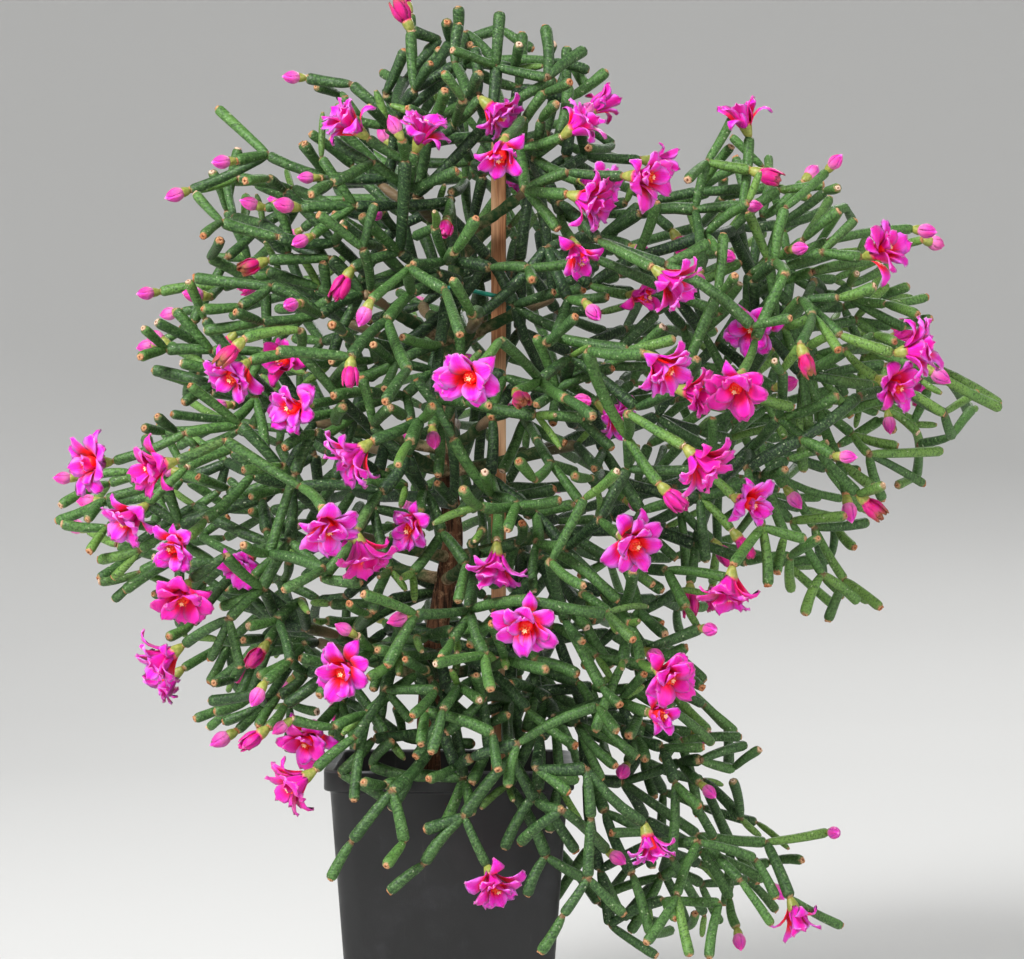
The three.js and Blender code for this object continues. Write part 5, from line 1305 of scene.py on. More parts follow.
def set_values(mesh, label, numbers):
    """Stores one number, whole number or vector for each point of a mesh."""
    numbers = np.array(numbers)
    kind = "FLOAT_VECTOR" if numbers.ndim == 2 else "INT" if numbers.dtype.kind == "i" else "FLOAT"
    slot = "vector" if numbers.ndim == 2 else "value"
    mesh.attributes.new(label, kind, "POINT").data.foreach_set(slot, numbers.ravel())


def stand_for(piece, slot, *nodes):
    """Lets a finished piece ride on the plant and stand for its solid nodes."""
    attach(piece, "root")
    if nodes:
        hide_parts(*nodes)


def smooth_with(mesh, finish, sharpest=None):
    """Shades a mesh smooth, but for edges sharper than an angle in degrees, and gives it its material."""
    mesh.polygons.foreach_set("use_smooth", [True] * len(mesh.polygons))
    if finish:
        mesh.materials.append(finish)
    if sharpest:
        mesh.set_sharp_from_angle(angle=math.radians(sharpest))


def circle(radius, z, sides, x=0.0, y=0.0):
    """A round ring of points"""
    turns = [2 * math.pi * k / sides for k in range(sides)]
    return [(x + math.cos(turn) * radius, y + math.sin(turn) * radius, z) for turn in turns]


def rounded_ring(half_x, half_y, corner, z, steps):
    """A rectangle with rounded corners, once round"""
    ring = []
    for quarter, (cx, cy) in enumerate(((1, 1), (-1, 1), (-1, -1), (1, -1))):
        for i in range(steps):
            turn = (quarter + i / (steps - 1)) * math.pi / 2
            ring.append((cx * (half_x - corner) + math.cos(turn) * corner,
                         cy * (half_y - corner) + math.sin(turn) * corner, z))
    return ring


def loft(rings, close_first=True, close_last=True):
    """Points and faces of a skin over rings of equal count"""
    points = [point for ring in rings for point in ring]
    count = len(rings[0])
    faces = []
    for i in range(len(rings) - 1):
        for k in range(count):
            a, b = i * count + k, i * count + (k + 1) % count
            faces.append((a, b, b + count, a + count))
    if close_first:
        faces.append(tuple(reversed(range(count))))
    if close_last:
        faces.append(tuple(range(len(points) - count, len(points))))
    return points, faces


def bent_between(before, here, after, later, t):
    """A point between two points of a path, on a curve that their neighbours bend"""
    near = here + (after - before) * (t / 6)
    far = after + (here - later) * ((1 - t) / 6)
    return near.lerp(far, t)


class Strands:
    """Chains of points that become tubes, each point with its girth and other values"""

    def __init__(self):
        self.points, self.edges, self.values = [], [], {}

    def chain(self, points, closed=False, **values):
        """Adds a chain. A value is one number for all of it, or a list with one for each point."""
        first = len(self.points)
        self.points += points
        self.edges += [(i, i + 1) for i in range(first, len(self.points) - 1)]
        if closed:
            self.edges.append((len(self.points) - 1, first))
        for label, value in values.items():
            numbers = value if isinstance(value, list) else [value] * len(points)
            self.values.setdefault(label, []).extend(numbers)

    def piece(self, name, tubes, **given):
        piece = new_piece(name, self.points, self.edges, values=self.values)
        return tubes.apply(piece, {label.replace("_", " "): value for label, value in given.items()})


def pot_half_at(z):
    return POT_BASE_HALF + ((POT_RIM_HALF - RIM_STEP - POT_BASE_HALF) * z) / POT_HEIGHT


def rounded_profile(profile, radius, steps=3):
    """Rounds the corners of a list of (half width, corner radius, height) rows."""
    profile = [Vector(row) for row in profile]
    rows = [tuple(profile[0])]
    for before, here, after in zip(profile, profile[1:], profile[2:]):
        near = before.lerp(here, 1 - min(0.45, radius / (before - here).length))
        far = here.lerp(after, min(0.45, radius / (after - here).length))
        for i in range(steps + 1):
            t = i / steps
            rows.append(tuple(near.lerp(here, t).lerp(here.lerp(far, t), t)))
    return rows + [tuple(profile[-1])]


def pot_piece(settings):
    """The pot as a skin over its rounded profile, with drain holes cut through its floor"""
    band = POT_HEIGHT - RIM_BAND
    outer, inner = POT_CORNER + RIM_STEP, POT_CORNER - POT_WALL
    middle = (12, 4)
    rows = rounded_profile([
        (*middle, 0.0),
        (POT_BASE_HALF, POT_CORNER, 0.0),
        (pot_half_at(60), POT_CORNER, 60.0),
        (pot_half_at(band), POT_CORNER, band),
        (POT_RIM_HALF, outer, band + 0.6),
        (POT_RIM_HALF, outer, POT_HEIGHT),
        (pot_half_at(POT_HEIGHT) - POT_WALL, inner, POT_HEIGHT),
        (pot_half_at(POT_FLOOR) - POT_WALL, inner, POT_FLOOR),
        (*middle, POT_FLOOR),
    ], settings.edge_round / MM)
    points, faces = loft([rounded_ring(half, half, corner, z, 9) for half, corner, z in rows])
    pot = new_piece("nursery_pot", points, faces=faces)
    cutters = []
    for turn in (45, 135, 225, 315):
        x = math.cos(math.radians(turn)) * DRAIN_REACH
        y = math.sin(math.radians(turn)) * DRAIN_REACH
        points, faces = loft([circle(DRAIN_RADIUS, z, 24, x, y) for z in DRAIN_CUT])
        cutters.append(new_piece("drain_cutter", points, faces=faces))
        cut = pot.modifiers.new("drain", "BOOLEAN")
        cut.operation = "DIFFERENCE"
        cut.solver = "EXACT"
        cut.object = cutters[-1]
    keep_result(pot)
    for cutter in cutters:
        bpy.data.objects.remove(cutter)
    smooth_with(pot.data, pot_finish(settings), 35)
    stand_for(pot, "pot", "plant_pot")


def chip_shapes():
    """Three broken bark chips"""
    shapes = bpy.data.collections.new("bark_chips")
    for number, (length, width, height) in enumerate(((4.6, 2.8, 1.5), (3.4, 2.9, 1.9), (5.8, 1.9, 1.2))):
        bm = bmesh.new()
        bmesh.ops.create_icosphere(bm, subdivisions=1, radius=1)
        for i, vert in enumerate(bm.verts):
            jag = 1 + 0.35 * noise.noise(Vector((number * 7.3, i * 1.7, 2.2)))
            vert.co = Vector((vert.co.x * length * jag / 2, vert.co.y * width * jag / 2,
                              clamp(vert.co.z, -0.6, 0.6) * height * jag)) * MM
        mesh = bpy.data.meshes.new("bark_chip_" + str(number))
        bm.to_mesh(mesh)
        bm.free()
        shapes.objects.link(bpy.data.objects.new(mesh.name, mesh))
    return shapes


def drop_shapes(shapes):
    for shape in list(shapes.objects):
        mesh = shape.data
        bpy.data.objects.remove(shape)
        bpy.data.meshes.remove(mesh)
    bpy.data.collections.remove(shapes)


# How far the soil's middle lies below its edge, how high its crumbs rise, and how fine they are
SOIL_DIP = 2.0
CRUMB_HEIGHT = 1.5
CRUMB_GRAIN = 0.16


def soil_piece(settings):
    """The soil that fills the pot, crumbly on top, with bark chips strewn over it"""
    low = POT_FLOOR + FIT
    inset, corner, steps = POT_WALL + FIT, POT_CORNER - POT_WALL, 14
    rings = []
    for z in (low, low + 1, 40, 80, SOIL_TOP - 3):
        half = pot_half_at(z) - inset
        rings.append(rounded_ring(half, half, corner, z, 5))
    for i in range(steps, 0, -1):
        half = (pot_half_at(SOIL_TOP) - inset) * (i / steps)
        ring = []
        for x, y, z in rounded_ring(half, half, corner * (i / steps), SOIL_TOP, 5):
            crumb = noise.fractal(Vector((x, y, 0)) * CRUMB_GRAIN, 1.0, 2.0, 4)
            ring.append((x, y, z - SOIL_DIP + CRUMB_HEIGHT * crumb))
        rings.append(ring)
    points, faces = loft(rings)
    soil = new_piece("bark_potting_mix", points, faces=faces, values={"tint": [0.4] * len(points)})
    shapes = chip_shapes()
    scatter_tree().apply(soil, {"Shapes": shapes, "Finish": soil_finish(settings),
                                "Number per square metre": settings.chips, "Seed": 7})
    drop_shapes(shapes)
    stand_for(soil, "soil", "potting_soil")


# The stake's top edges are worn off by this much, its long edges are rounded, and its sides are dented.
STAKE_WEAR = 0.7
STAKE_EDGE = 0.45
STAKE_DENT = 0.14


def stake_piece(settings):
    """A split stake with softened corners, slightly uneven along its length"""
    heights = [STAKE_FOOT, STAKE_FOOT + 5, STAKE_FOOT + STAKE_POINT]
    heights += [*range(60, 365, 8), STAKE_TOP - STAKE_WEAR, STAKE_TOP - 0.25, STAKE_TOP]
    rings = []
    for z in heights:
        point = clamp((z - STAKE_FOOT) / STAKE_POINT, 0, 1)
        worn = 0.5 * clamp((z - STAKE_TOP + STAKE_WEAR) / STAKE_WEAR, 0, 1)
        ring = []
        half = STAKE_WIDTH / 2 * (0.4 + 0.6 * point)
        for x, y, z in rounded_ring(half - worn, STAKE_THICKNESS / 2 - worn, STAKE_EDGE, z, 4):
            dent = abs(STAKE_DENT * noise.noise(Vector((x * 0.9, y * 0.9, z * 0.05))))
            ring.append((STAKE_X + x - math.copysign(dent, x), STAKE_Y + y - math.copysign(dent, y), z))
        rings.append(ring)
    points, faces = loft(rings)
    stake = new_piece("wooden_stake", points, faces=faces)
    smooth_with(stake.data, stake_finish(settings), 50)
    stand_for(stake, "stake", "plant_stake")


def tie_piece(settings, tubes):
    """The tie's loop, closed by a short twist"""
    belt = [Vector(point) for point in tie_path()]
    count = len(belt)
    strands = Strands()
    strands.chain([bent_between(*(belt[(i + k) % count] for k in (-1, 0, 1, 2)), part / 4)
                   for i in range(count) for part in range(4)], closed=True, girth=WIRE_RADIUS * MM)
    knot = belt[2] + Vector((TIE_RADIUS * 1.6, 0, 0))
    for phase in (0, math.pi):
        twist = []
        for i in range(TWIST_STEPS + 1):
            t = i / TWIST_STEPS
            turn = phase + t * TWIST_TURNS * 2 * math.pi
            twist.append(knot + Vector((t * TWIST_LENGTH, -t * 1.5 + math.cos(turn) * WIRE_RADIUS * 0.9,
                                        math.sin(turn) * WIRE_RADIUS * 0.9 - t * 1.2)))
        strands.chain(twist, girth=WIRE_RADIUS * MM)
    stand_for(strands.piece("tie_wire", tubes, Sides=10, Finish=wire_finish(settings)), "tie", "plant_tie")


# Above this height the trunk's bark gives way to old green skin, over this far
GREEN_TRUNK_Z = 235
GREENING = 70
BARK_STEP = 2.4
# A lateral's radius, the knobs on it, how much its foot and its head swell, and its end
BRANCH_RADIUS = 2.35
BRANCH_KNOBS = 0.35
BRANCH_FOOT = 0.9
BRANCH_HEAD = 0.25
BRANCH_END = 1.4
BRANCH_BOW = 0.7


def wood_piece(settings, tubes, crown):
    """The trunk and the laterals that carry sprays, as bark-covered tubes"""
    strands = Strands()
    trunk = [Vector(point) for point in TRUNK_PATH]
    last = len(trunk) - 1
    path, radii = [], []
    for i in range(last):
        steps = max(4, round((trunk[i + 1] - trunk[i]).length / BARK_STEP))
        around = trunk[max(i - 1, 0)], trunk[i], trunk[i + 1], trunk[min(i + 2, last)]
        for k in range(steps + (i == last - 1)):
            path.append(bent_between(*around, k / steps))
            share = min(1, (i + k / steps) / last * TRUNK_TAPER)
            radii.append((TRUNK_FOOT_RADIUS + (TRUNK_TOP_RADIUS - TRUNK_FOOT_RADIUS) * share) * MM)
    radii[-1] *= 0.5
    radii[-2] *= 0.9
    ages = [clamp((spot.z - GREEN_TRUNK_Z) / GREENING, 0, 1) for spot in path]
    strands.chain(path, girth=radii, age=ages)
    for head in crown.heads():
        number = crown.joints[head].spray
        tail, tip = (Vector(end) for end in crown.laterals[number])
        length = (tip - tail).length
        way = (tip - tail) / length
        steps = max(6, round(length / 2.2))
        path, radii = [], []
        for k in range(steps + 1):
            t = k / steps
            knob = BRANCH_KNOBS * noise.noise(Vector((number * 3.1, t * 4.0, 0.7)))
            bow = math.sin(t * math.pi)
            aside = Vector([noise.noise(Vector((number, axis, t * 2))) for axis in (1, 2)] + [0.0])
            path.append(tail + way * (length * t) + aside * (BRANCH_BOW * bow) + Vector((0, 0, -0.5 * bow)))
            swell = BRANCH_FOOT * (1 - t / 0.15) if t < 0.15 else BRANCH_HEAD if t > 0.9 else 0
            radii.append((BRANCH_RADIUS + knob + swell) * MM)
        strands.chain([*path, tip + way * 0.9], girth=[*radii, BRANCH_END * MM],
                      age=[0.6 + 0.4 * k / (steps + 1) for k in range(steps + 2)])
    wood = strands.piece("bark_stems", tubes, Sides=16, Ridge_depth=1.3 * MM, Ridge_grain=620.0,
                         Ridge_stretch=(1.0, 1.0, 0.2), Finish=bark_finish(settings))
    stand_for(wood, "bark", "woody_stems")


def stem_rings(length):
    """Distances along a stem and its girths there, in millimetres: slim at its base, full at its tip"""
    rings = [(0.0, 1.1), (1.5, 1.62)]
    rings += [(4.0 + (length - 7.2) * t, 1.98 + 0.4 * t) for t in (0, 0.33, 0.67, 1)]
    return rings + [(length - 1.5, 2.34), (length - 0.55, 1.95), (length, 1.1)]


def spray_members(crown, head):
    """The stems of one spray as (tail, head) joint numbers, in order"""
    members = []
    waiting = [(head, kid) for kid in crown.joints[head].kids]
    while waiting:
        tail, tip = waiting.pop(0)
        members.append((tail, tip))
        waiting += [(tip, kid) for kid in crown.joints[tip].kids]
    return members


def tip_ranks(crown):
    """How many stems lie between each joint and the furthest tip beyond it"""
    ranks = {}

    def rank(joint):
        kids = crown.joints[joint].kids
        ranks[joint] = 1 + max(rank(kid) for kid in kids) if kids else 0
        return ranks[joint]

    for first in range(0, 2 * len(crown.laterals), 2):
        rank(first)
    return ranks


# A stem's age is a share: 1 is fresh green and 0 is old. It falls with each stem beyond it, and rises with
# each millimetre further out than the middle reach, which darkens the inner stems as painted shade.
TIP_AGE = 0.6
AGE_BY_RANK = 0.13
AGE_BY_CHANCE = 0.36
PAINTED_SHADE_BY_REACH = 0.0036
MIDDLE_REACH = 88
# How plump a stem is: at most, what it loses by its age and how much chance there is in it
PLUMPEST = 1.08
PLUMP_BY_AGE = 0.2
PLUMP_BY_CHANCE = 0.18
# A fresh shoot's radius in its middle and what it loses to its ends
FRESH_RADIUS = 1.6
FRESH_POINT = 0.9


def stems_piece(settings, tubes, crown, name, head, ranks, finish):
    """One spray of green stems, each a slim-based tube that swells to its tip"""
    strands = Strands()
    for tail, tip in spray_members(crown, head):
        start, end = Vector(crown.joints[tail].at), Vector(crown.joints[tip].at)
        length = (end - start).length
        way = (end - start) / length
        side, other = (Vector(v) for v in across_of(tuple(way)))
        lean = 2 * math.pi * crown.draw()
        bend = settings.bow * (0.25 + 0.75 * crown.draw())
        bow = (side * math.cos(lean) + other * math.sin(lean)) * (length * bend)
        tint = crown.draw()
        outward = math.hypot(end[0], end[1]) - MIDDLE_REACH
        age = TIP_AGE - AGE_BY_RANK * ranks[tip] + AGE_BY_CHANCE * (crown.draw() - 0.5)
        # Painted shade: stems nearer the crown's middle are pushed towards the dark old green.
        age = clamp(age + PAINTED_SHADE_BY_REACH * outward, 0, 1)
        plump = PLUMPEST - PLUMP_BY_AGE * age + PLUMP_BY_CHANCE * (crown.draw() - 0.5)
        marks, girths = (list(column) for column in zip(*stem_rings(length)))
        if crown.joints[tip].fresh:
            age = 1.0
            girths = [FRESH_RADIUS - FRESH_POINT * (2 * mark / length - 1) ** 4 for mark in marks]
        path = [start + way * mark + bow * (4 * mark / length * (1 - mark / length)) for mark in marks]
        swell = plump * settings.girth / STEM_RADIUS
        strands.chain(path, girth=[girth * swell for girth in girths], age=age, tint=tint, from_base=marks,
                      to_tip=[length - mark for mark in marks], cork=0.6 * (tail == head))
    return strands.piece(name, tubes, Sides=settings.sides, Finish=finish)


def tuft_shapes():
    """Low woolly domes, with how far each point is from the middle"""
    shapes = bpy.data.collections.new("wool_tufts")
    for number in range(3):
        rings, centres = [], [0.0]
        for ring, (radius, height) in enumerate(((0.6, 0.75), (1.25, 0.8), (1.8, 0.3), (1.5, -0.6))):
            rings.append([])
            for k in range(8):
                turn = 2 * math.pi * (k + ring / 2) / 8
                rough = 1 + 0.5 * noise.noise(Vector((number * 5 + k * 1.3, ring * 1.3, 4.4)))
                rings[-1].append(Vector((math.cos(turn) * radius, math.sin(turn) * radius, height)) * rough)
                centres.append(radius / 1.8)
        points, faces = loft(rings, close_first=False)
        faces = [[i + 1 for i in face] for face in faces] + [(0, 1 + k, 1 + (k + 1) % 8) for k in range(8)]
        add_shape(shapes, number, [(0, 0, 0.4), *points], faces, {"centre": centres})
    return shapes


def add_shape(shapes, number, points, faces, values):
    """Adds a numbered shape to be copied, which is kept in its own collection and not in the scene."""
    shape = new_piece(f"{shapes.name}_{number:02d}", points, faces=faces, values=values)
    bpy.context.scene.collection.objects.unlink(shape)
    shapes.objects.link(shape)
    smooth_with(shape.data, None)


def copies_piece(name, copies, rows, shapes, finishes):
    """One piece from rows of (place, turn, size, shape, tint, wither)"""
    places, turns, sizes, kinds, tints, withers = zip(*rows)
    values = {"turn": [tuple(turn) for turn in turns], "size": sizes, "shape": kinds,
              "tint": [float(tint) for tint in tints], "wither": [float(wither) for wither in withers]}
    given = {"Shapes": shapes}
    given.update(zip(("Finish", "Second finish", "Third finish"), finishes + finishes[:1] * 2))
    return copies.apply(new_piece(name, places, values=values), given)


def facing_turn(facing, spin, lean=(0.0, 0.0)):
    """The turn that takes a shape's own Z axis to a direction, after a lean and a spin about that axis"""
    aim = Vector(facing).to_track_quat("Z", "Y").to_matrix()
    return (aim @ Euler((lean[0], lean[1], spin)).to_matrix()).to_euler()


# A cap's size at a free end, at a joint and on a fresh shoot, and the least and what chance adds
TUFT_AT_END = 0.8
TUFT_AT_JOINT = 0.6
TUFT_WHEN_FRESH = 0.36
TUFT_SIZE = (0.7, 0.45)


def tufts_piece(settings, copies, crown, tips):
    """The woolly caps at the stems' ends, as copies of three domes"""
    shapes = tuft_shapes()
    rows = []
    for tip in tips:
        joint = crown.joints[tip]
        out = scale(joint.inward, -1)
        large = (TUFT_AT_JOINT if joint.kids else TUFT_AT_END) * crown.draw_from(*TUFT_SIZE)
        turn = facing_turn(out, 2 * math.pi * crown.draw())
        shape, tint = int(crown.draw() * 3), crown.draw()
        if joint.fresh:
            large, tint = TUFT_WHEN_FRESH, 1.0
        rows.append((along(joint.at, out, -0.25), turn, (large, large, 0.8 * large), shape, tint, 0.0))
    tufts = copies_piece("areole_wool", copies, rows, shapes, [wool_finish(settings)])
    drop_shapes(shapes)
    stand_for(tufts, "stem")


def curve_through(points, t):
    """A point on a smooth curve through evenly spaced points"""
    place = clamp(t, 0, 0.9999) * (len(points) - 1)
    i = int(place)
    t = place - i
    around = points[max(i - 1, 0)], points[i], points[i + 1], points[min(i + 2, len(points) - 1)]
    return [0.5 * (2 * b + (c - a) * t + (2 * a - 5 * b + 4 * c - d) * t * t
                   + (3 * b - a - 3 * c + d) * t * t * t) for a, b, c, d in zip(*around)]


def tepal_shape(shapes, number, path, widths, wrap, cup, wave, seed, thickness=0.34):
    """A closed thin tepal. Its path is (distance from the flower's axis, height) from root to tip."""
    rows, columns = 7, 5
    points, values, numbers, faces = [], {"reach": [], "side": [], "upper": []}, {}, []
    for layer, level in ((1, 0.5), (0, -0.5)):
        for i in range(rows):
            t = i / (rows - 1)
            r2, s2 = curve_through(path, min(t + 0.02, 1.0))
            r1, s1 = curve_through(path, max(t - 0.02, 0.0))
            tangent = Vector((r2 - r1, 0, s2 - s1)).normalized()
            normal = Vector((-tangent.z, 0, tangent.x))
            half = curve_through(widths, t)[0]
            for k in range(columns):
                edge = i in (0, rows - 1) or k in (0, columns - 1)
                if edge and layer == 0:
                    numbers[(0, i, k)] = numbers[(1, i, k)]
                    continue
                x = 2 * k / (columns - 1) - 1
                r, s = curve_through(path, t * (1 - 0.09 * x * x))
                angle = clamp(x * half / max(r, 0.6), -1.3, 1.3)
                flat = Vector((r, x * half, s))
                wound = Vector((r * math.cos(angle), r * math.sin(angle), s))
                ruffle = wave * t * t * noise.noise(Vector((seed * 3.7 + x * 1.7, t * 2.6, seed)))
                lift = cup * half * x * x + ruffle + (0 if edge else level * thickness)
                numbers[(layer, i, k)] = len(points)
                points.append(tuple(flat.lerp(wound, wrap) + normal * lift))
                for label, value in zip(values, (t, x, 0.5 if edge else float(layer))):
                    values[label].append(value)
        for i in range(rows - 1):
            for k in range(columns - 1):
                corners = ((i, k), (i, k + 1), (i + 1, k + 1), (i + 1, k))
                faces.append([numbers[(layer, *corner)] for corner in corners])
    add_shape(shapes, number, points, faces, {**values, "kind": [0] * len(points)})


def round_shape(shapes, number, profile, kind, sides=10):
    """A closed turned shape along Z from (height, radius) rows"""
    points, faces = loft([circle(radius, z, sides) for z, radius in profile])
    low, high = profile[0][0], profile[-1][0]
    add_shape(shapes, number, points, faces, {"reach": [(z - low) / (high - low) for x, y, z in points],
                                              "upper": [1.0] * len(points), "kind": [kind] * len(points)})


def pistil_shape(shapes, number):
    """Stamens with their anthers round a style with a five-lobed stigma"""
    points, faces, reach = [], [], []

    def spindle(path, radii, levels, sides):
        rings = [circle(radius, z, sides, x, y) for (x, y, z), radius in zip(path, radii)]
        new_points, new_faces = loft(rings)
        faces.extend(tuple(len(points) + i for i in face) for face in new_faces)
        points.extend(new_points)
        reach.extend(level for level in levels for side in range(sides))

    spindle([(0, 0, 6.0), (0, 0, 10.2), (0, 0, 11.0)], [1.8, 2.6, 1.8], [0.3, 0.45, 0.5], 10)
    spindle([(0, 0, 9.5), (0, 0, 12.6)], [0.4, 0.36], [0.5, 0.8], 5)
    for x, y, z in circle(1.0, 0.0, 5):
        path = [(x * 0.15, y * 0.15, 12.3), (x * 0.5, y * 0.5, 12.9), (x * 0.85, y * 0.85, 13.2)]
        spindle(path, [0.28, 0.34, 0.14], [1, 1, 1], 5)
    for k in range(15):
        turn = 2 * math.pi * k / 15 + 0.3
        c, s = math.cos(turn), math.sin(turn)
        out = 1.0 + 0.8 * (k % 3) / 2
        top = 11.4 + 0.6 * ((k * 7) % 5) / 4
        spindle([(c, s, 10.2), (c * out, s * out, top)], [0.16, 0.14], [0.4, 0.6], 3)
        path = [(c * out, s * out, top + rise) for rise in (-0.15, 0.2, 0.6)]
        spindle(path, [0.2, 0.32, 0.14], [0.62, 0.7, 0.7], 5)
    add_shape(shapes, number, points, faces, {"reach": reach, "kind": [2] * len(points)})


# The shapes that flowers are made of, in the order of their numbers
(OUTER, OUTER_BROAD, MIDDLE_BROAD, MIDDLE_SLIM, INNER, BUD_SCALE, BUD_CORE, SPENT_TEPAL, OPEN_BASE, BUD_BASE,
 PISTIL, SPENT_CORE) = range(12)


def flower_shapes():
    """A collection of the numbered shapes that flowers are made of"""
    shapes = bpy.data.collections.new("flower_parts")
    outer = [(1.9, 3.8), (3.8, 7.6), (7.4, 10.0), (10.9, 9.8), (12.9, 7.0)]
    outer_flat = [(1.9, 3.8), (3.6, 8.0), (7.0, 11.0), (10.6, 11.8), (13.0, 10.2)]
    middle = [(1.9, 4.4), (3.5, 9.2), (6.0, 12.6), (9.2, 14.2), (11.9, 13.8)]
    inner = [(1.8, 5.0), (3.1, 9.8), (4.5, 13.2), (6.4, 15.6), (8.2, 16.6)]
    scales = [(1.7, 3.4), (3.15, 6.0), (3.3, 8.2), (2.4, 10.4), (1.2, 12.2)]
    spent = [(1.7, 4.2), (3.0, 6.8), (3.5, 9.4), (2.8, 12.2), (2.1, 14.2)]
    broad = [(1.2,), (2.9,), (4.3,), (4.6,), (1.9,)]
    narrow = [(1.0,), (2.2,), (3.1,), (3.0,), (0.9,)]
    slim = [(1.1,), (2.6,), (3.8,), (3.9,), (1.6,)]
    tepal_shape(shapes, OUTER, outer, narrow, 0.35, -0.12, 1.8, 1)
    tepal_shape(shapes, OUTER_BROAD, outer_flat, broad, 0.4, 0.08, 3.0, 2)
    tepal_shape(shapes, MIDDLE_BROAD, middle, broad, 0.5, 0.06, 3.2, 3)
    tepal_shape(shapes, MIDDLE_SLIM, middle, slim, 0.5, 0.1, 3.0, 4)
    tepal_shape(shapes, INNER, inner, slim, 0.75, 0.02, 2.0, 5)
    scale_widths = [(1.0,), (2.2,), (2.5,), (1.7,), (0.4,)]
    tepal_shape(shapes, BUD_SCALE, scales, scale_widths, 1.0, 0, 0.1, 6, 0.24)
    bud = [(3.4, 1.6), (4.8, 2.7), (6.8, 3.3), (8.8, 3.05), (10.8, 2.05), (12.3, 0.95), (13.3, 0.2)]
    round_shape(shapes, BUD_CORE, bud, 0)
    spent_widths = [(1.0,), (2.5,), (2.9,), (2.1,), (0.8,)]
    tepal_shape(shapes, SPENT_TEPAL, spent, spent_widths, 0.95, 0.1, 1.3, 8)
    open_base = [(-0.3, 1.1), (0.4, 1.5), (2.0, 2.0), (3.8, 2.5), (5.4, 2.55), (6.2, 1.6)]
    round_shape(shapes, OPEN_BASE, open_base, 1)
    bud_base = [(-0.3, 1.1), (0.4, 1.5), (1.8, 2.05), (3.2, 2.3), (4.6, 2.2), (5.6, 1.2)]
    round_shape(shapes, BUD_BASE, bud_base, 1)
    pistil_shape(shapes, PISTIL)
    core = [(4.4, 1.5), (6.2, 2.5), (8.4, 3.0), (10.6, 2.8), (12.4, 2.0), (13.6, 1.2), (14.4, 0.3)]
    round_shape(shapes, SPENT_CORE, core, 0)
    return shapes


# The whorls of an open flower: its shapes in turn, how many, and how far the first is turned on, in steps
OPEN_WHORLS = [((OUTER_BROAD, OUTER, OUTER_BROAD), 5, 0.0),
               ((MIDDLE_BROAD, MIDDLE_SLIM, MIDDLE_BROAD), 5, 0.5), ((INNER,), 4, 0.2)]
HALF_OPEN_WHORLS = [((OUTER,), 3, 0.3), ((INNER,), 5, 0.0), ((SPENT_TEPAL,), 5, 0.5)]
HALF_OPEN_SHARE = 0.3
# Sizes of tepals, buds and spent flowers: the least, and what chance adds
TEPAL_SIZE = (0.88, 0.16)
BUD_SIZE = (0.68, 0.24)
SPENT_SIZE = (0.8, 0.16)
SPENT_TEPAL_SIZE = (0.9, 0.2)
SPENT_WITHER = (0.6, 0.4)
TEPAL_SWAY = 0.17
# How far a bud's colour goes to that of spent flowers
BUD_FLUSH = 0.24


def flower_rows(crown, kind, at, facing):
    """The parts of one flower as rows of place, turn, size, shape, tint and wither"""
    rows = []
    spin = 2 * math.pi * crown.draw()
    tint = crown.draw()

    def put(shape, turn, large, wither=0.0, loose=0.0, spread=1.0):
        lean = (crown.spread(loose), crown.spread(loose))
        shade = clamp(tint + 0.5 * (crown.draw() - 0.5), 0, 1)
        wide = large * spread
        rows.append((at, facing_turn(facing, spin + turn, lean), (wide, wide, large), shape, shade, wither))

    if is_open(kind):
        small, least = (1.0, 0.93) if kind == "star" else (0.94, 0.7)
        spread = least + (1.02 - least) * crown.draw()
        half_open = crown.draw() < HALF_OPEN_SHARE and kind != "star"
        for shapes, count, offset in HALF_OPEN_WHORLS if half_open else OPEN_WHORLS:
            for k in range(count):
                turn = 2 * math.pi * (k + offset) / count + 0.5 * (crown.draw() - 0.5)
                large = small * crown.draw_from(*TEPAL_SIZE)
                put(shapes[k % len(shapes)], turn, large, 0.0, TEPAL_SWAY, spread)
        put(OPEN_BASE, 0.0, 1.0)
        put(PISTIL, 0.3, 1.0)
    elif kind == "bud":
        large = crown.draw_from(*BUD_SIZE)
        for k in range(5):
            put(BUD_SCALE, 2 * math.pi * (k + 0.5) / 5, large, BUD_FLUSH)
        put(BUD_CORE, 0.0, large, BUD_FLUSH)
        put(BUD_BASE, 0.0, large + 0.06)
    else:
        wither = crown.draw_from(*SPENT_WITHER)
        large = crown.draw_from(*SPENT_SIZE)
        for k in range(7):
            turn = 2 * math.pi * k / 7 + 0.3 * crown.draw()
            put(SPENT_TEPAL, turn, large * crown.draw_from(*SPENT_TEPAL_SIZE), wither, 0.1)
        put(SPENT_CORE, 0.0, large, wither)
        put(BUD_BASE, 0.0, 1.0)
    return rows


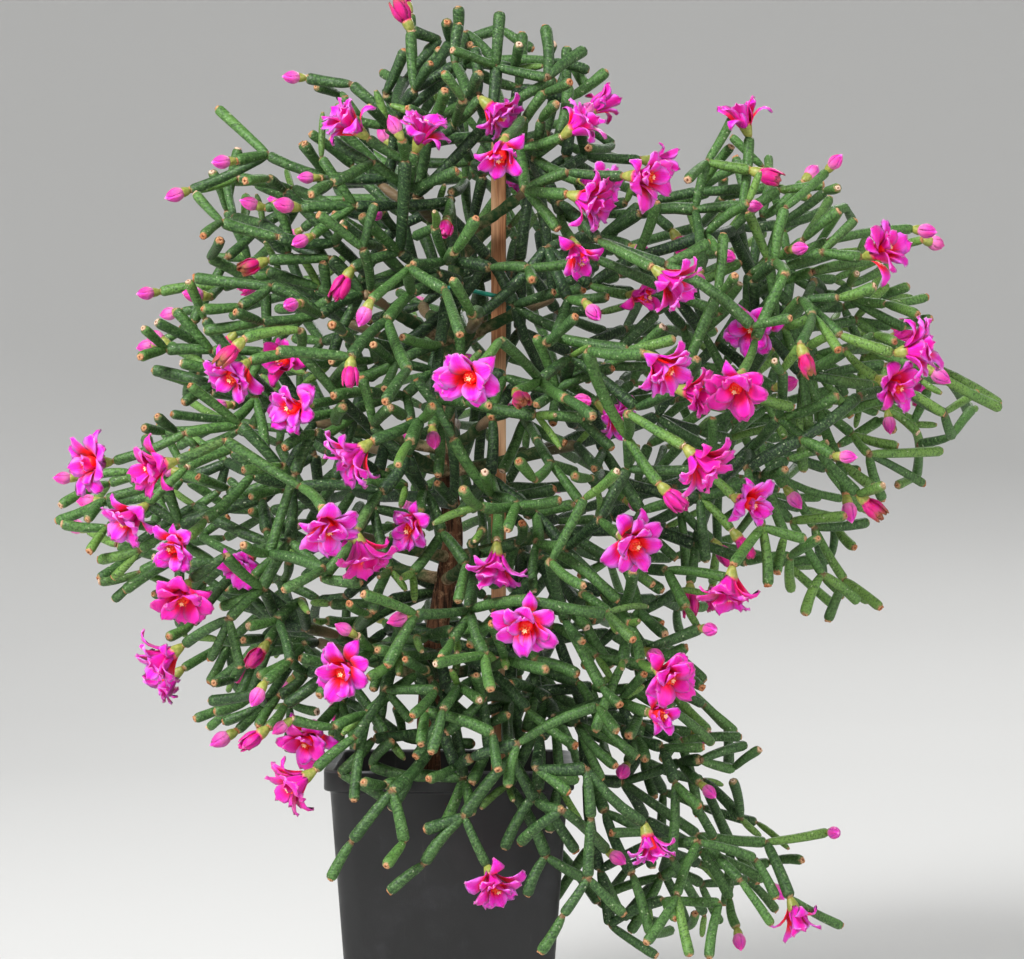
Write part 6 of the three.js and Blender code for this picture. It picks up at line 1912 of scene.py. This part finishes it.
def flower_pieces(settings, copies, crown, heads):
    """A piece for each bloom node, and one for the flowers on each spray"""
    shapes = flower_shapes()
    finishes = [petal_finish(settings), ovary_finish(settings), pistil_finish(settings)]
    stars = [joint for joint in crown.joints
             if joint.flower == "star" and joint.spray >= 0 and not joint.added]
    for number, joint in enumerate(stars, 1):
        tip = scale(joint.inward, -1)
        at = along(joint.at, tip, FIT + STEM_RADIUS * 0.75 * (1 - dot(tip, joint.facing)))
        rows = flower_rows(crown, "star", at, joint.facing)
        bloom = copies_piece(f"large_bloom_{number:02d}", copies, rows, shapes, finishes)
        stand_for(bloom, "petal", f"bloom_{number:02d}")
    for number, head in enumerate(heads, 1):
        rows = []
        for tail, tip in spray_members(crown, head):
            joint = crown.joints[tip]
            if joint.flower and (joint.flower != "star" or joint.added):
                rows += flower_rows(crown, joint.flower, joint.at, joint.facing)
        if rows:
            stand_for(copies_piece(f"spray_flowers_{number:02d}", copies, rows, shapes, finishes), "petal")
    drop_shapes(shapes)


def fill_crown(crown, heads):
    """Adds the shoots that the dressed plant has between those of the solid model."""
    crown.filling = True
    roots = []
    for i, (u0, v0, u1, v1) in enumerate(LOOSE_SHOOTS):
        roots.append(crown.place_twig([[u0, v0], [0, u1, v1]], -1, (i * 3) % len(SHARES)))
    for i, (u, v) in enumerate(LOOSE_TIPS):
        pull = LOOSE_LENGTH / (math.sqrt((u - MIDDLE_U) ** 2 + (v - MIDDLE_V) ** 2) + 1)
        base_u = u + (MIDDLE_U - u) * pull + crown.spread(LOOSE_SWAY)
        base_v = v + (MIDDLE_V - v) * pull + crown.spread(LOOSE_SWAY)
        roots.append(crown.place_twig([[base_u, base_v], [0, u, v]], -1, (i * 4) % len(SHARES)))
    for first in range(0, 2 * len(crown.laterals), 2):
        if first not in heads:
            crown.joints[first + 1].closed = True
    crown.attach_all(roots)
    for tail, tip in crown.stems:
        if crown.joints[tip].spray >= 0:
            for square in squares_under(crown.joints[tail].at, crown.joints[tip].at, 0):
                crown.cover[square] += 1
    between = closed_over(crown.cover)
    fill_freely(crown, between)
    reach_open_squares(crown, between)


def may_carry(crown, number):
    """True for a joint that a filling shoot may leave"""
    joint = crown.joints[number]
    if joint.spray < 0 or joint.closed or len(joint.kids) > 2 or not joint.inward or joint.flower:
        return False
    return number >= 2 * len(crown.laterals) or number % 2 == 1


def add_shoot(crown, number, tip, squares, fresh=False):
    """Adds a shoot and counts the squares that it is seen over."""
    crown.joints.append(Joint(tip, crown.joints[number].spray, fresh))
    crown.joints[-1].fresh = fresh
    crown.add_stem(number, len(crown.joints) - 1)
    for square in squares:
        crown.cover[square] += 1


def reach_open_squares(crown, between):
    """Grows shoots towards the squares of the picture that nothing covers yet."""
    for row, column in np.argwhere(between & (crown.cover == 0)):
        u = (column - SQUARE_MARGIN // 2 + 0.5) * SQUARE
        v = (row - SQUARE_MARGIN // 2 + 0.5) * SQUARE
        near = []
        for number, joint in enumerate(crown.joints):
            if may_carry(crown, number):
                joint_u, joint_v = to_view(joint.at)
                near.append(((joint_u - u) ** 2 + (joint_v - v) ** 2, number))
        for _, number in sorted(near)[:REACH_JOINTS]:
            joint = crown.joints[number]
            target = from_view(u, v, joint.at[1] + crown.spread(REACH_SWAY))
            way = unit(sub(target, joint.at))
            tip = along(joint.at, way, clamp(distance(target, joint.at) + REACH_PAST, *FILL_LENGTHS))
            if crown.cover[row, column] or hides_stake(joint.at, tip) or not inside_crown(tip):
                continue
            if shoot_fits(crown, joint, number, way, tip, REACH_SHARPEST):
                add_shoot(crown, number, tip, squares_under(joint.at, tip, 2))


def fill_freely(crown, between):
    """Grows shoots from joints drawn at random where the picture shows the crown closed."""
    added = 0
    for attempt in range(FILL_TRIES):
        number = int(crown.draw() * len(crown.joints))
        joint = crown.joints[number]
        way = unit((crown.spread(1), crown.spread(1), crown.spread(FILL_FLATTER)))
        length = FILL_LENGTHS[0] + (FILL_LENGTHS[1] - FILL_LENGTHS[0]) * crown.draw()
        flowering = crown.draw() < FILL_BUDS
        behind = crown.draw() < FILL_BACK_SHARE
        fresh = crown.draw() < FILL_FRESH
        if added >= FILL_MOST or not may_carry(crown, number):
            continue
        out = unit((joint.at[0], joint.at[1], (joint.at[2] - CROWN_HEART_Z) * FILL_FLATTER + 0.01))
        on = add(scale(out, FILL_OUTWARD), scale(joint.inward, -FILL_ONWARD))
        way = unit(add(scale(way, FILL_RANDOM), on))
        tip = along(joint.at, way, length * FRESH_LENGTH if fresh else length)
        squares = squares_under(joint.at, tip, 2)
        if not all(between[square] for square in squares):
            continue
        seen = sum(crown.cover[square] for square in squares) / len(squares)
        wanted = FILL_BACK_SEEN if behind and tip[1] > 0 else FILL_SEEN
        tip_u, tip_v = to_view(tip)
        if abs(tip_u - TRUNK_U) < FILL_HEART and tip[1] < 0:
            wanted = FILL_HEART_SEEN
        for (left, top, right, bottom), closed in CLOSED:
            if left < tip_u < right and top < tip_v < bottom and tip[1] < STAKE_Y:
                wanted = closed
        if seen > wanted or not inside_crown(tip) or hides_stake(joint.at, tip):
            continue
        if not shoot_fits(crown, joint, number, way, tip):
            continue
        add_shoot(crown, number, tip, squares, fresh)
        added += 1
        if flowering and tip[1] > 0 and not fresh:
            facing = unit(add(way, scale(out, 0.5)))
            parts = flower_solids("bud", tip, facing)
            if all(crown.is_clear(a, b, radius, len(crown.joints) - 1) for a, b, radius in parts):
                crown.set_flower(len(crown.joints) - 1, "bud", facing)


def seen_places(a, b, first=0):
    """Where the steps along a stem are seen in the picture, from one step on"""
    return [to_view(mix(a, b, i / SEEN_STEPS)) for i in range(first, SEEN_STEPS + 1)]


def hides_stake(a, b):
    """True for a front shoot that is seen over the stake, the tie or the open part of the trunk"""
    if a[1] > STAKE_Y and b[1] > STAKE_Y:
        return False
    return any(left < u < right and top < v < bottom
               for u, v in seen_places(a, b) for left, top, right, bottom in KEPT_OPEN)


def squares_under(a, b, first):
    """The squares of the picture that a stem is seen over, from one of its steps on"""
    return sorted({tuple(clamp(int(mark // SQUARE) + SQUARE_MARGIN // 2, 0, SQUARES - 1) for mark in (v, u))
                   for u, v in seen_places(a, b, first)})


def closed_over(cover):
    """The squares of the picture that lie between covered ones"""
    between = cover > 0
    for grows in (True, True, True, False, False, False, False):
        layers = [between] + [np.roll(between, step, axis) for step in (1, -1) for axis in (0, 1)]
        between = np.logical_or.reduce(layers) if grows else np.logical_and.reduce(layers)
    return between


def inside_crown(tip):
    """True inside the crown's outline, and behind the shoots that are seen nearest"""
    u, v = to_view(tip)
    left, right = crown_row(v)[:2]
    if not left + OUTLINE_ROOM < u < right - OUTLINE_ROOM or not FILL_TOP_V < v < FILL_FOOT_V:
        return False
    depth = crown_depth(u, v)
    return FILL_FRONT * depth < tip[1] < FILL_INSIDE * depth


def shoot_fits(crown, joint, number, way, tip, sharpest=SHARPEST_SHOOT):
    """True for a shoot that leaves its joint openly and is clear of all that stands"""
    if dot(way, joint.inward) > sharpest:
        return False
    for kid in joint.kids:
        if dot(way, unit(sub(crown.joints[kid].at, joint.at))) > NARROWEST_SHOOT:
            return False
    return crown.is_clear(joint.at, tip, STEM_RADIUS, number)


def check_frame(crown, heads):
    """Stops where the grown crown and the solid frame don't agree."""
    for number, head in enumerate(heads, 1):
        low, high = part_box(f"stem_spray_{number:02d}")
        spots = [crown.joints[head].at] + [crown.joints[tip].at for tail, tip in spray_members(crown, head)]
        for axis in range(3):
            marks = [spot[axis] * MM for spot in spots]
            if low[axis] > min(marks) + MM or high[axis] < max(marks) - MM:
                raise RuntimeError(f"stem_spray_{number:02d} lies elsewhere in the frame")


GROWN = {}


def grown_crown():
    """The crown, grown once and shared by the operators that dress it"""
    if not GROWN:
        crown = Crown()
        crown.grow()
        heads = crown.heads()
        check_frame(crown, heads)
        fill_crown(crown, heads)
        GROWN.update(crown=crown, heads=heads, ranks=tip_ranks(crown))
        GROWN.update(tubes=tube_tree(), copies=copies_tree())
    return GROWN


def colour(name, description, levels):
    """A colour that a user would change"""
    return bpy.props.FloatVectorProperty(name=name, description=description, default=levels, subtype="COLOR")


def amount(name, description, default, unit="NONE", **limits):
    """A number that a user would change"""
    subtype = "DISTANCE" if unit == "LENGTH" else "NONE"
    return bpy.props.FloatProperty(name=name, description=description, default=default, unit=unit,
                                   subtype=subtype, min=0.0, **limits)


class PotSettings(bpy.types.PropertyGroup):
    """The pot, its soil, the stake and the tie"""
    edge_round: amount("Edge rounding", "How far the pot's edges are rounded", 0.7 * MM, "LENGTH")
    chips: amount("Bark chips", "Chips on each square metre of soil", 52000.0)
    pot: colour("Pot", "Colour of the pot's plastic", tone(11, 12, 13))
    soil: colour("Soil", "Colour of the lighter soil", tone(92, 62, 44))
    stake: colour("Stake", "Colour of the stake's wood", tone(198, 142, 100))
    wire: colour("Tie", "Colour of the tie's plastic", tone(8, 112, 92))


class StemSettings(bpy.types.PropertyGroup):
    """The wood, the green stems and the wool at their ends"""
    girth: amount("Girth", "Radius of a stem near its middle", 2.2 * MM, "LENGTH")
    sides: bpy.props.IntProperty(name="Sides", description="Sides of a round stem", default=8, min=5, max=16)
    bow: amount("Bow", "Most that a stem bows, as a share of its length", 0.06, max=0.1)
    # The old green also serves as painted shade on the crown's inner stems.
    old_green: colour("Old green", "Skin of old stems", tone(20, 46, 21))
    young_green: colour("Young green", "Skin of young stems", tone(82, 127, 55))
    blue_green: colour("Blue green", "Skin of shaded stems", tone(19, 45, 29))
    pale_green: colour("Mottling", "Pale mottling of the skin", tone(111, 149, 87))
    wool: colour("Wool", "Wool at the stems' ends", tone(178, 108, 66))
    bark: colour("Bark", "Bark of the trunk", tone(124, 84, 60))


class FlowerSettings(bpy.types.PropertyGroup):
    """The flowers' colours"""
    petal: colour("Tepals", "Main colour of the tepals", tone(238, 24, 204))
    deep_petal: colour("Veins", "Colour of the tepals' veins", tone(234, 8, 170))
    pale_petal: colour("Edges", "Colour towards the tepals' edges", tone(230, 112, 222))
    throat: colour("Throat", "Colour of the flower's throat", tone(255, 30, 32))
    spent: colour("Spent", "Colour of closed and spent flowers", tone(196, 8, 84))
    ovary: colour("Base", "Colour of the flower's base", tone(124, 134, 54))


class StageSettings(bpy.types.PropertyGroup):
    """The floor, the lights and the camera"""
    floor: colour("Floor", "Colour of the floor and its upturned edge", (0.7, 0.7, 0.69))
    key: amount("Key light", "Power of the main soft light", 66.0, "POWER")
    fill: amount("Fill light", "Power of each of the two weaker soft lights", 12.0, "POWER")
    sky: amount("Surrounding light", "Strength of the light from all round", 0.275)


class HATIORA_OT_pot(bpy.types.Operator):
    """Make the pot with its rounded rim and drain holes"""
    bl_idname = "hatiora.make_pot"
    bl_label = "Pot"

    def execute(self, context):
        pot_piece(context.scene.hatiora_pot)
        return {"FINISHED"}


class HATIORA_OT_soil(bpy.types.Operator):
    """Make the bark soil with chips strewn on it"""
    bl_idname = "hatiora.make_soil"
    bl_label = "Soil"

    def execute(self, context):
        soil_piece(context.scene.hatiora_pot)
        return {"FINISHED"}


class HATIORA_OT_stake(bpy.types.Operator):
    """Make the wooden stake"""
    bl_idname = "hatiora.make_stake"
    bl_label = "Stake"

    def execute(self, context):
        stake_piece(context.scene.hatiora_pot)
        return {"FINISHED"}


class HATIORA_OT_tie(bpy.types.Operator):
    """Make the wire tie with its twisted ends"""
    bl_idname = "hatiora.make_tie"
    bl_label = "Tie"

    def execute(self, context):
        tie_piece(context.scene.hatiora_pot, grown_crown()["tubes"])
        return {"FINISHED"}


class HATIORA_OT_wood(bpy.types.Operator):
    """Make the trunk and its woody laterals"""
    bl_idname = "hatiora.make_wood"
    bl_label = "Wood"

    def execute(self, context):
        grown = grown_crown()
        wood_piece(context.scene.hatiora_stem, grown["tubes"], grown["crown"])
        return {"FINISHED"}


class HATIORA_OT_stems(bpy.types.Operator):
    """Make the sprays of green stems"""
    bl_idname = "hatiora.make_stems"
    bl_label = "Stems"

    def execute(self, context):
        settings, grown = context.scene.hatiora_stem, grown_crown()
        finish = stem_finish(settings)
        for number, head in enumerate(grown["heads"], 1):
            spray = stems_piece(settings, grown["tubes"], grown["crown"], f"green_stems_{number:02d}", head,
                                grown["ranks"], finish)
            stand_for(spray, "stem", f"stem_spray_{number:02d}")
        return {"FINISHED"}


class HATIORA_OT_wool(bpy.types.Operator):
    """Make the woolly caps at the ends of the stems"""
    bl_idname = "hatiora.make_wool"
    bl_label = "Wool"

    def execute(self, context):
        grown = grown_crown()
        tips = [tip for head in grown["heads"] for tail, tip in spray_members(grown["crown"], head)]
        tufts_piece(context.scene.hatiora_stem, grown["copies"], grown["crown"], tips)
        return {"FINISHED"}


class HATIORA_OT_flowers(bpy.types.Operator):
    """Make the blooms, buds and spent flowers"""
    bl_idname = "hatiora.make_flowers"
    bl_label = "Flowers"

    def execute(self, context):
        grown = grown_crown()
        flower_pieces(context.scene.hatiora_flower, grown["copies"], grown["crown"], grown["heads"])
        return {"FINISHED"}


# What the lights aim at, in metres
LIGHT_AIM = (0.03, 0.0, 0.24)


def soft_light(name, place, power, width):
    """A round area light"""
    lamp = bpy.data.lights.new(name, "AREA")
    lamp.shape = "DISK"
    lamp.size = width
    lamp.energy = power
    light = bpy.data.objects.new(name, lamp)
    light.location = place
    light.rotation_euler = (Vector(LIGHT_AIM) - Vector(place)).to_track_quat("-Z", "Y").to_euler()
    bpy.context.scene.collection.objects.link(light)


def floor_piece(settings):
    """A round pale floor that turns up softly far from the plant"""
    sides, flat, bend, wall = 96, 1300, 2300, 700
    profile = [(300.0, 0.0), (flat, 0.0)]
    for i in range(1, 13):
        turn = i / 12 * math.pi / 2
        profile.append((flat + math.sin(turn) * bend, bend - math.cos(turn) * bend))
    profile.append((flat + bend, bend + wall))
    points, faces = loft([circle(radius, z, sides) for radius, z in profile], True, False)
    floor = new_piece("studio_floor", points, faces=[face[::-1] for face in faces], closed=False)
    smooth_with(floor.data, Finish("studio_floor", Roughness=0.85, Base_Color=(*settings.floor, 1.0)).wear())


class HATIORA_OT_stage(bpy.types.Operator):
    """Set up the pale floor, the soft studio light and the camera"""
    bl_idname = "hatiora.make_stage"
    bl_label = "Stage"

    def execute(self, context):
        scene = context.scene
        settings = scene.hatiora_stage
        floor_piece(settings)
        soft_light("key_light", (-1.0, -1.35, 1.45), settings.key, 0.8)
        soft_light("fill_light", (1.5, -1.0, 0.8), settings.fill, 1.2)
        soft_light("back_light", (0.5, 1.6, 1.3), settings.fill, 1.0)
        scene.world = bpy.data.worlds.new("studio_air")
        scene.world.use_nodes = True
        air = scene.world.node_tree.nodes["Background"]
        air.inputs["Color"].default_value = (1.0, 1.0, 1.0, 1.0)
        air.inputs["Strength"].default_value = settings.sky
        scene.view_settings.view_transform = "Standard"
        lens = bpy.data.cameras.new("photo_camera")
        lens.sensor_width = 36
        lens.lens = lens.sensor_width * VIEW_DISTANCE / (IMAGE_WIDTH * PIXEL_MM)
        scene.camera = bpy.data.objects.new("photo_camera", lens)
        scene.camera.location = (VIEW_X * MM, -VIEW_DISTANCE * MM, VIEW_Z * MM)
        scene.camera.rotation_euler = Euler((math.pi / 2, 0, 0))
        scene.collection.objects.link(scene.camera)
        return {"FINISHED"}


SETTINGS = {"hatiora_pot": PotSettings, "hatiora_stem": StemSettings, "hatiora_flower": FlowerSettings,
            "hatiora_stage": StageSettings}
OPERATORS = (HATIORA_OT_pot, HATIORA_OT_soil, HATIORA_OT_stake, HATIORA_OT_tie, HATIORA_OT_wood,
             HATIORA_OT_stems, HATIORA_OT_wool, HATIORA_OT_flowers, HATIORA_OT_stage)


class HATIORA_PT_plant(bpy.types.Panel):
    """Lists the plant's pieces and their settings"""
    bl_idname = "HATIORA_PT_plant"
    bl_label = "Hatiora"
    bl_space_type = "VIEW_3D"
    bl_region_type = "UI"
    bl_category = "Hatiora"

    def draw(self, context):
        for operator in OPERATORS:
            self.layout.operator(operator.bl_idname)
        for name, group in SETTINGS.items():
            box = self.layout.box()
            for label in group.__annotations__:
                box.prop(getattr(context.scene, name), label)


CLASSES = (*SETTINGS.values(), *OPERATORS, HATIORA_PT_plant)


def register():
    for cls in CLASSES:
        bpy.utils.register_class(cls)
    for name, group in SETTINGS.items():
        setattr(bpy.types.Scene, name, bpy.props.PointerProperty(type=group))


def unregister():
    for name in SETTINGS:
        delattr(bpy.types.Scene, name)
    for cls in reversed(CLASSES):
        bpy.utils.unregister_class(cls)


def main():
    register()
    bpy.ops.hatiora.make_pot()
    bpy.ops.hatiora.make_soil()
    bpy.ops.hatiora.make_stake()
    bpy.ops.hatiora.make_tie()
    bpy.ops.hatiora.make_wood()
    bpy.ops.hatiora.make_stems()
    bpy.ops.hatiora.make_wool()
    bpy.ops.hatiora.make_flowers()
    bpy.ops.hatiora.make_stage()


if __name__ == "__main__":
    main()
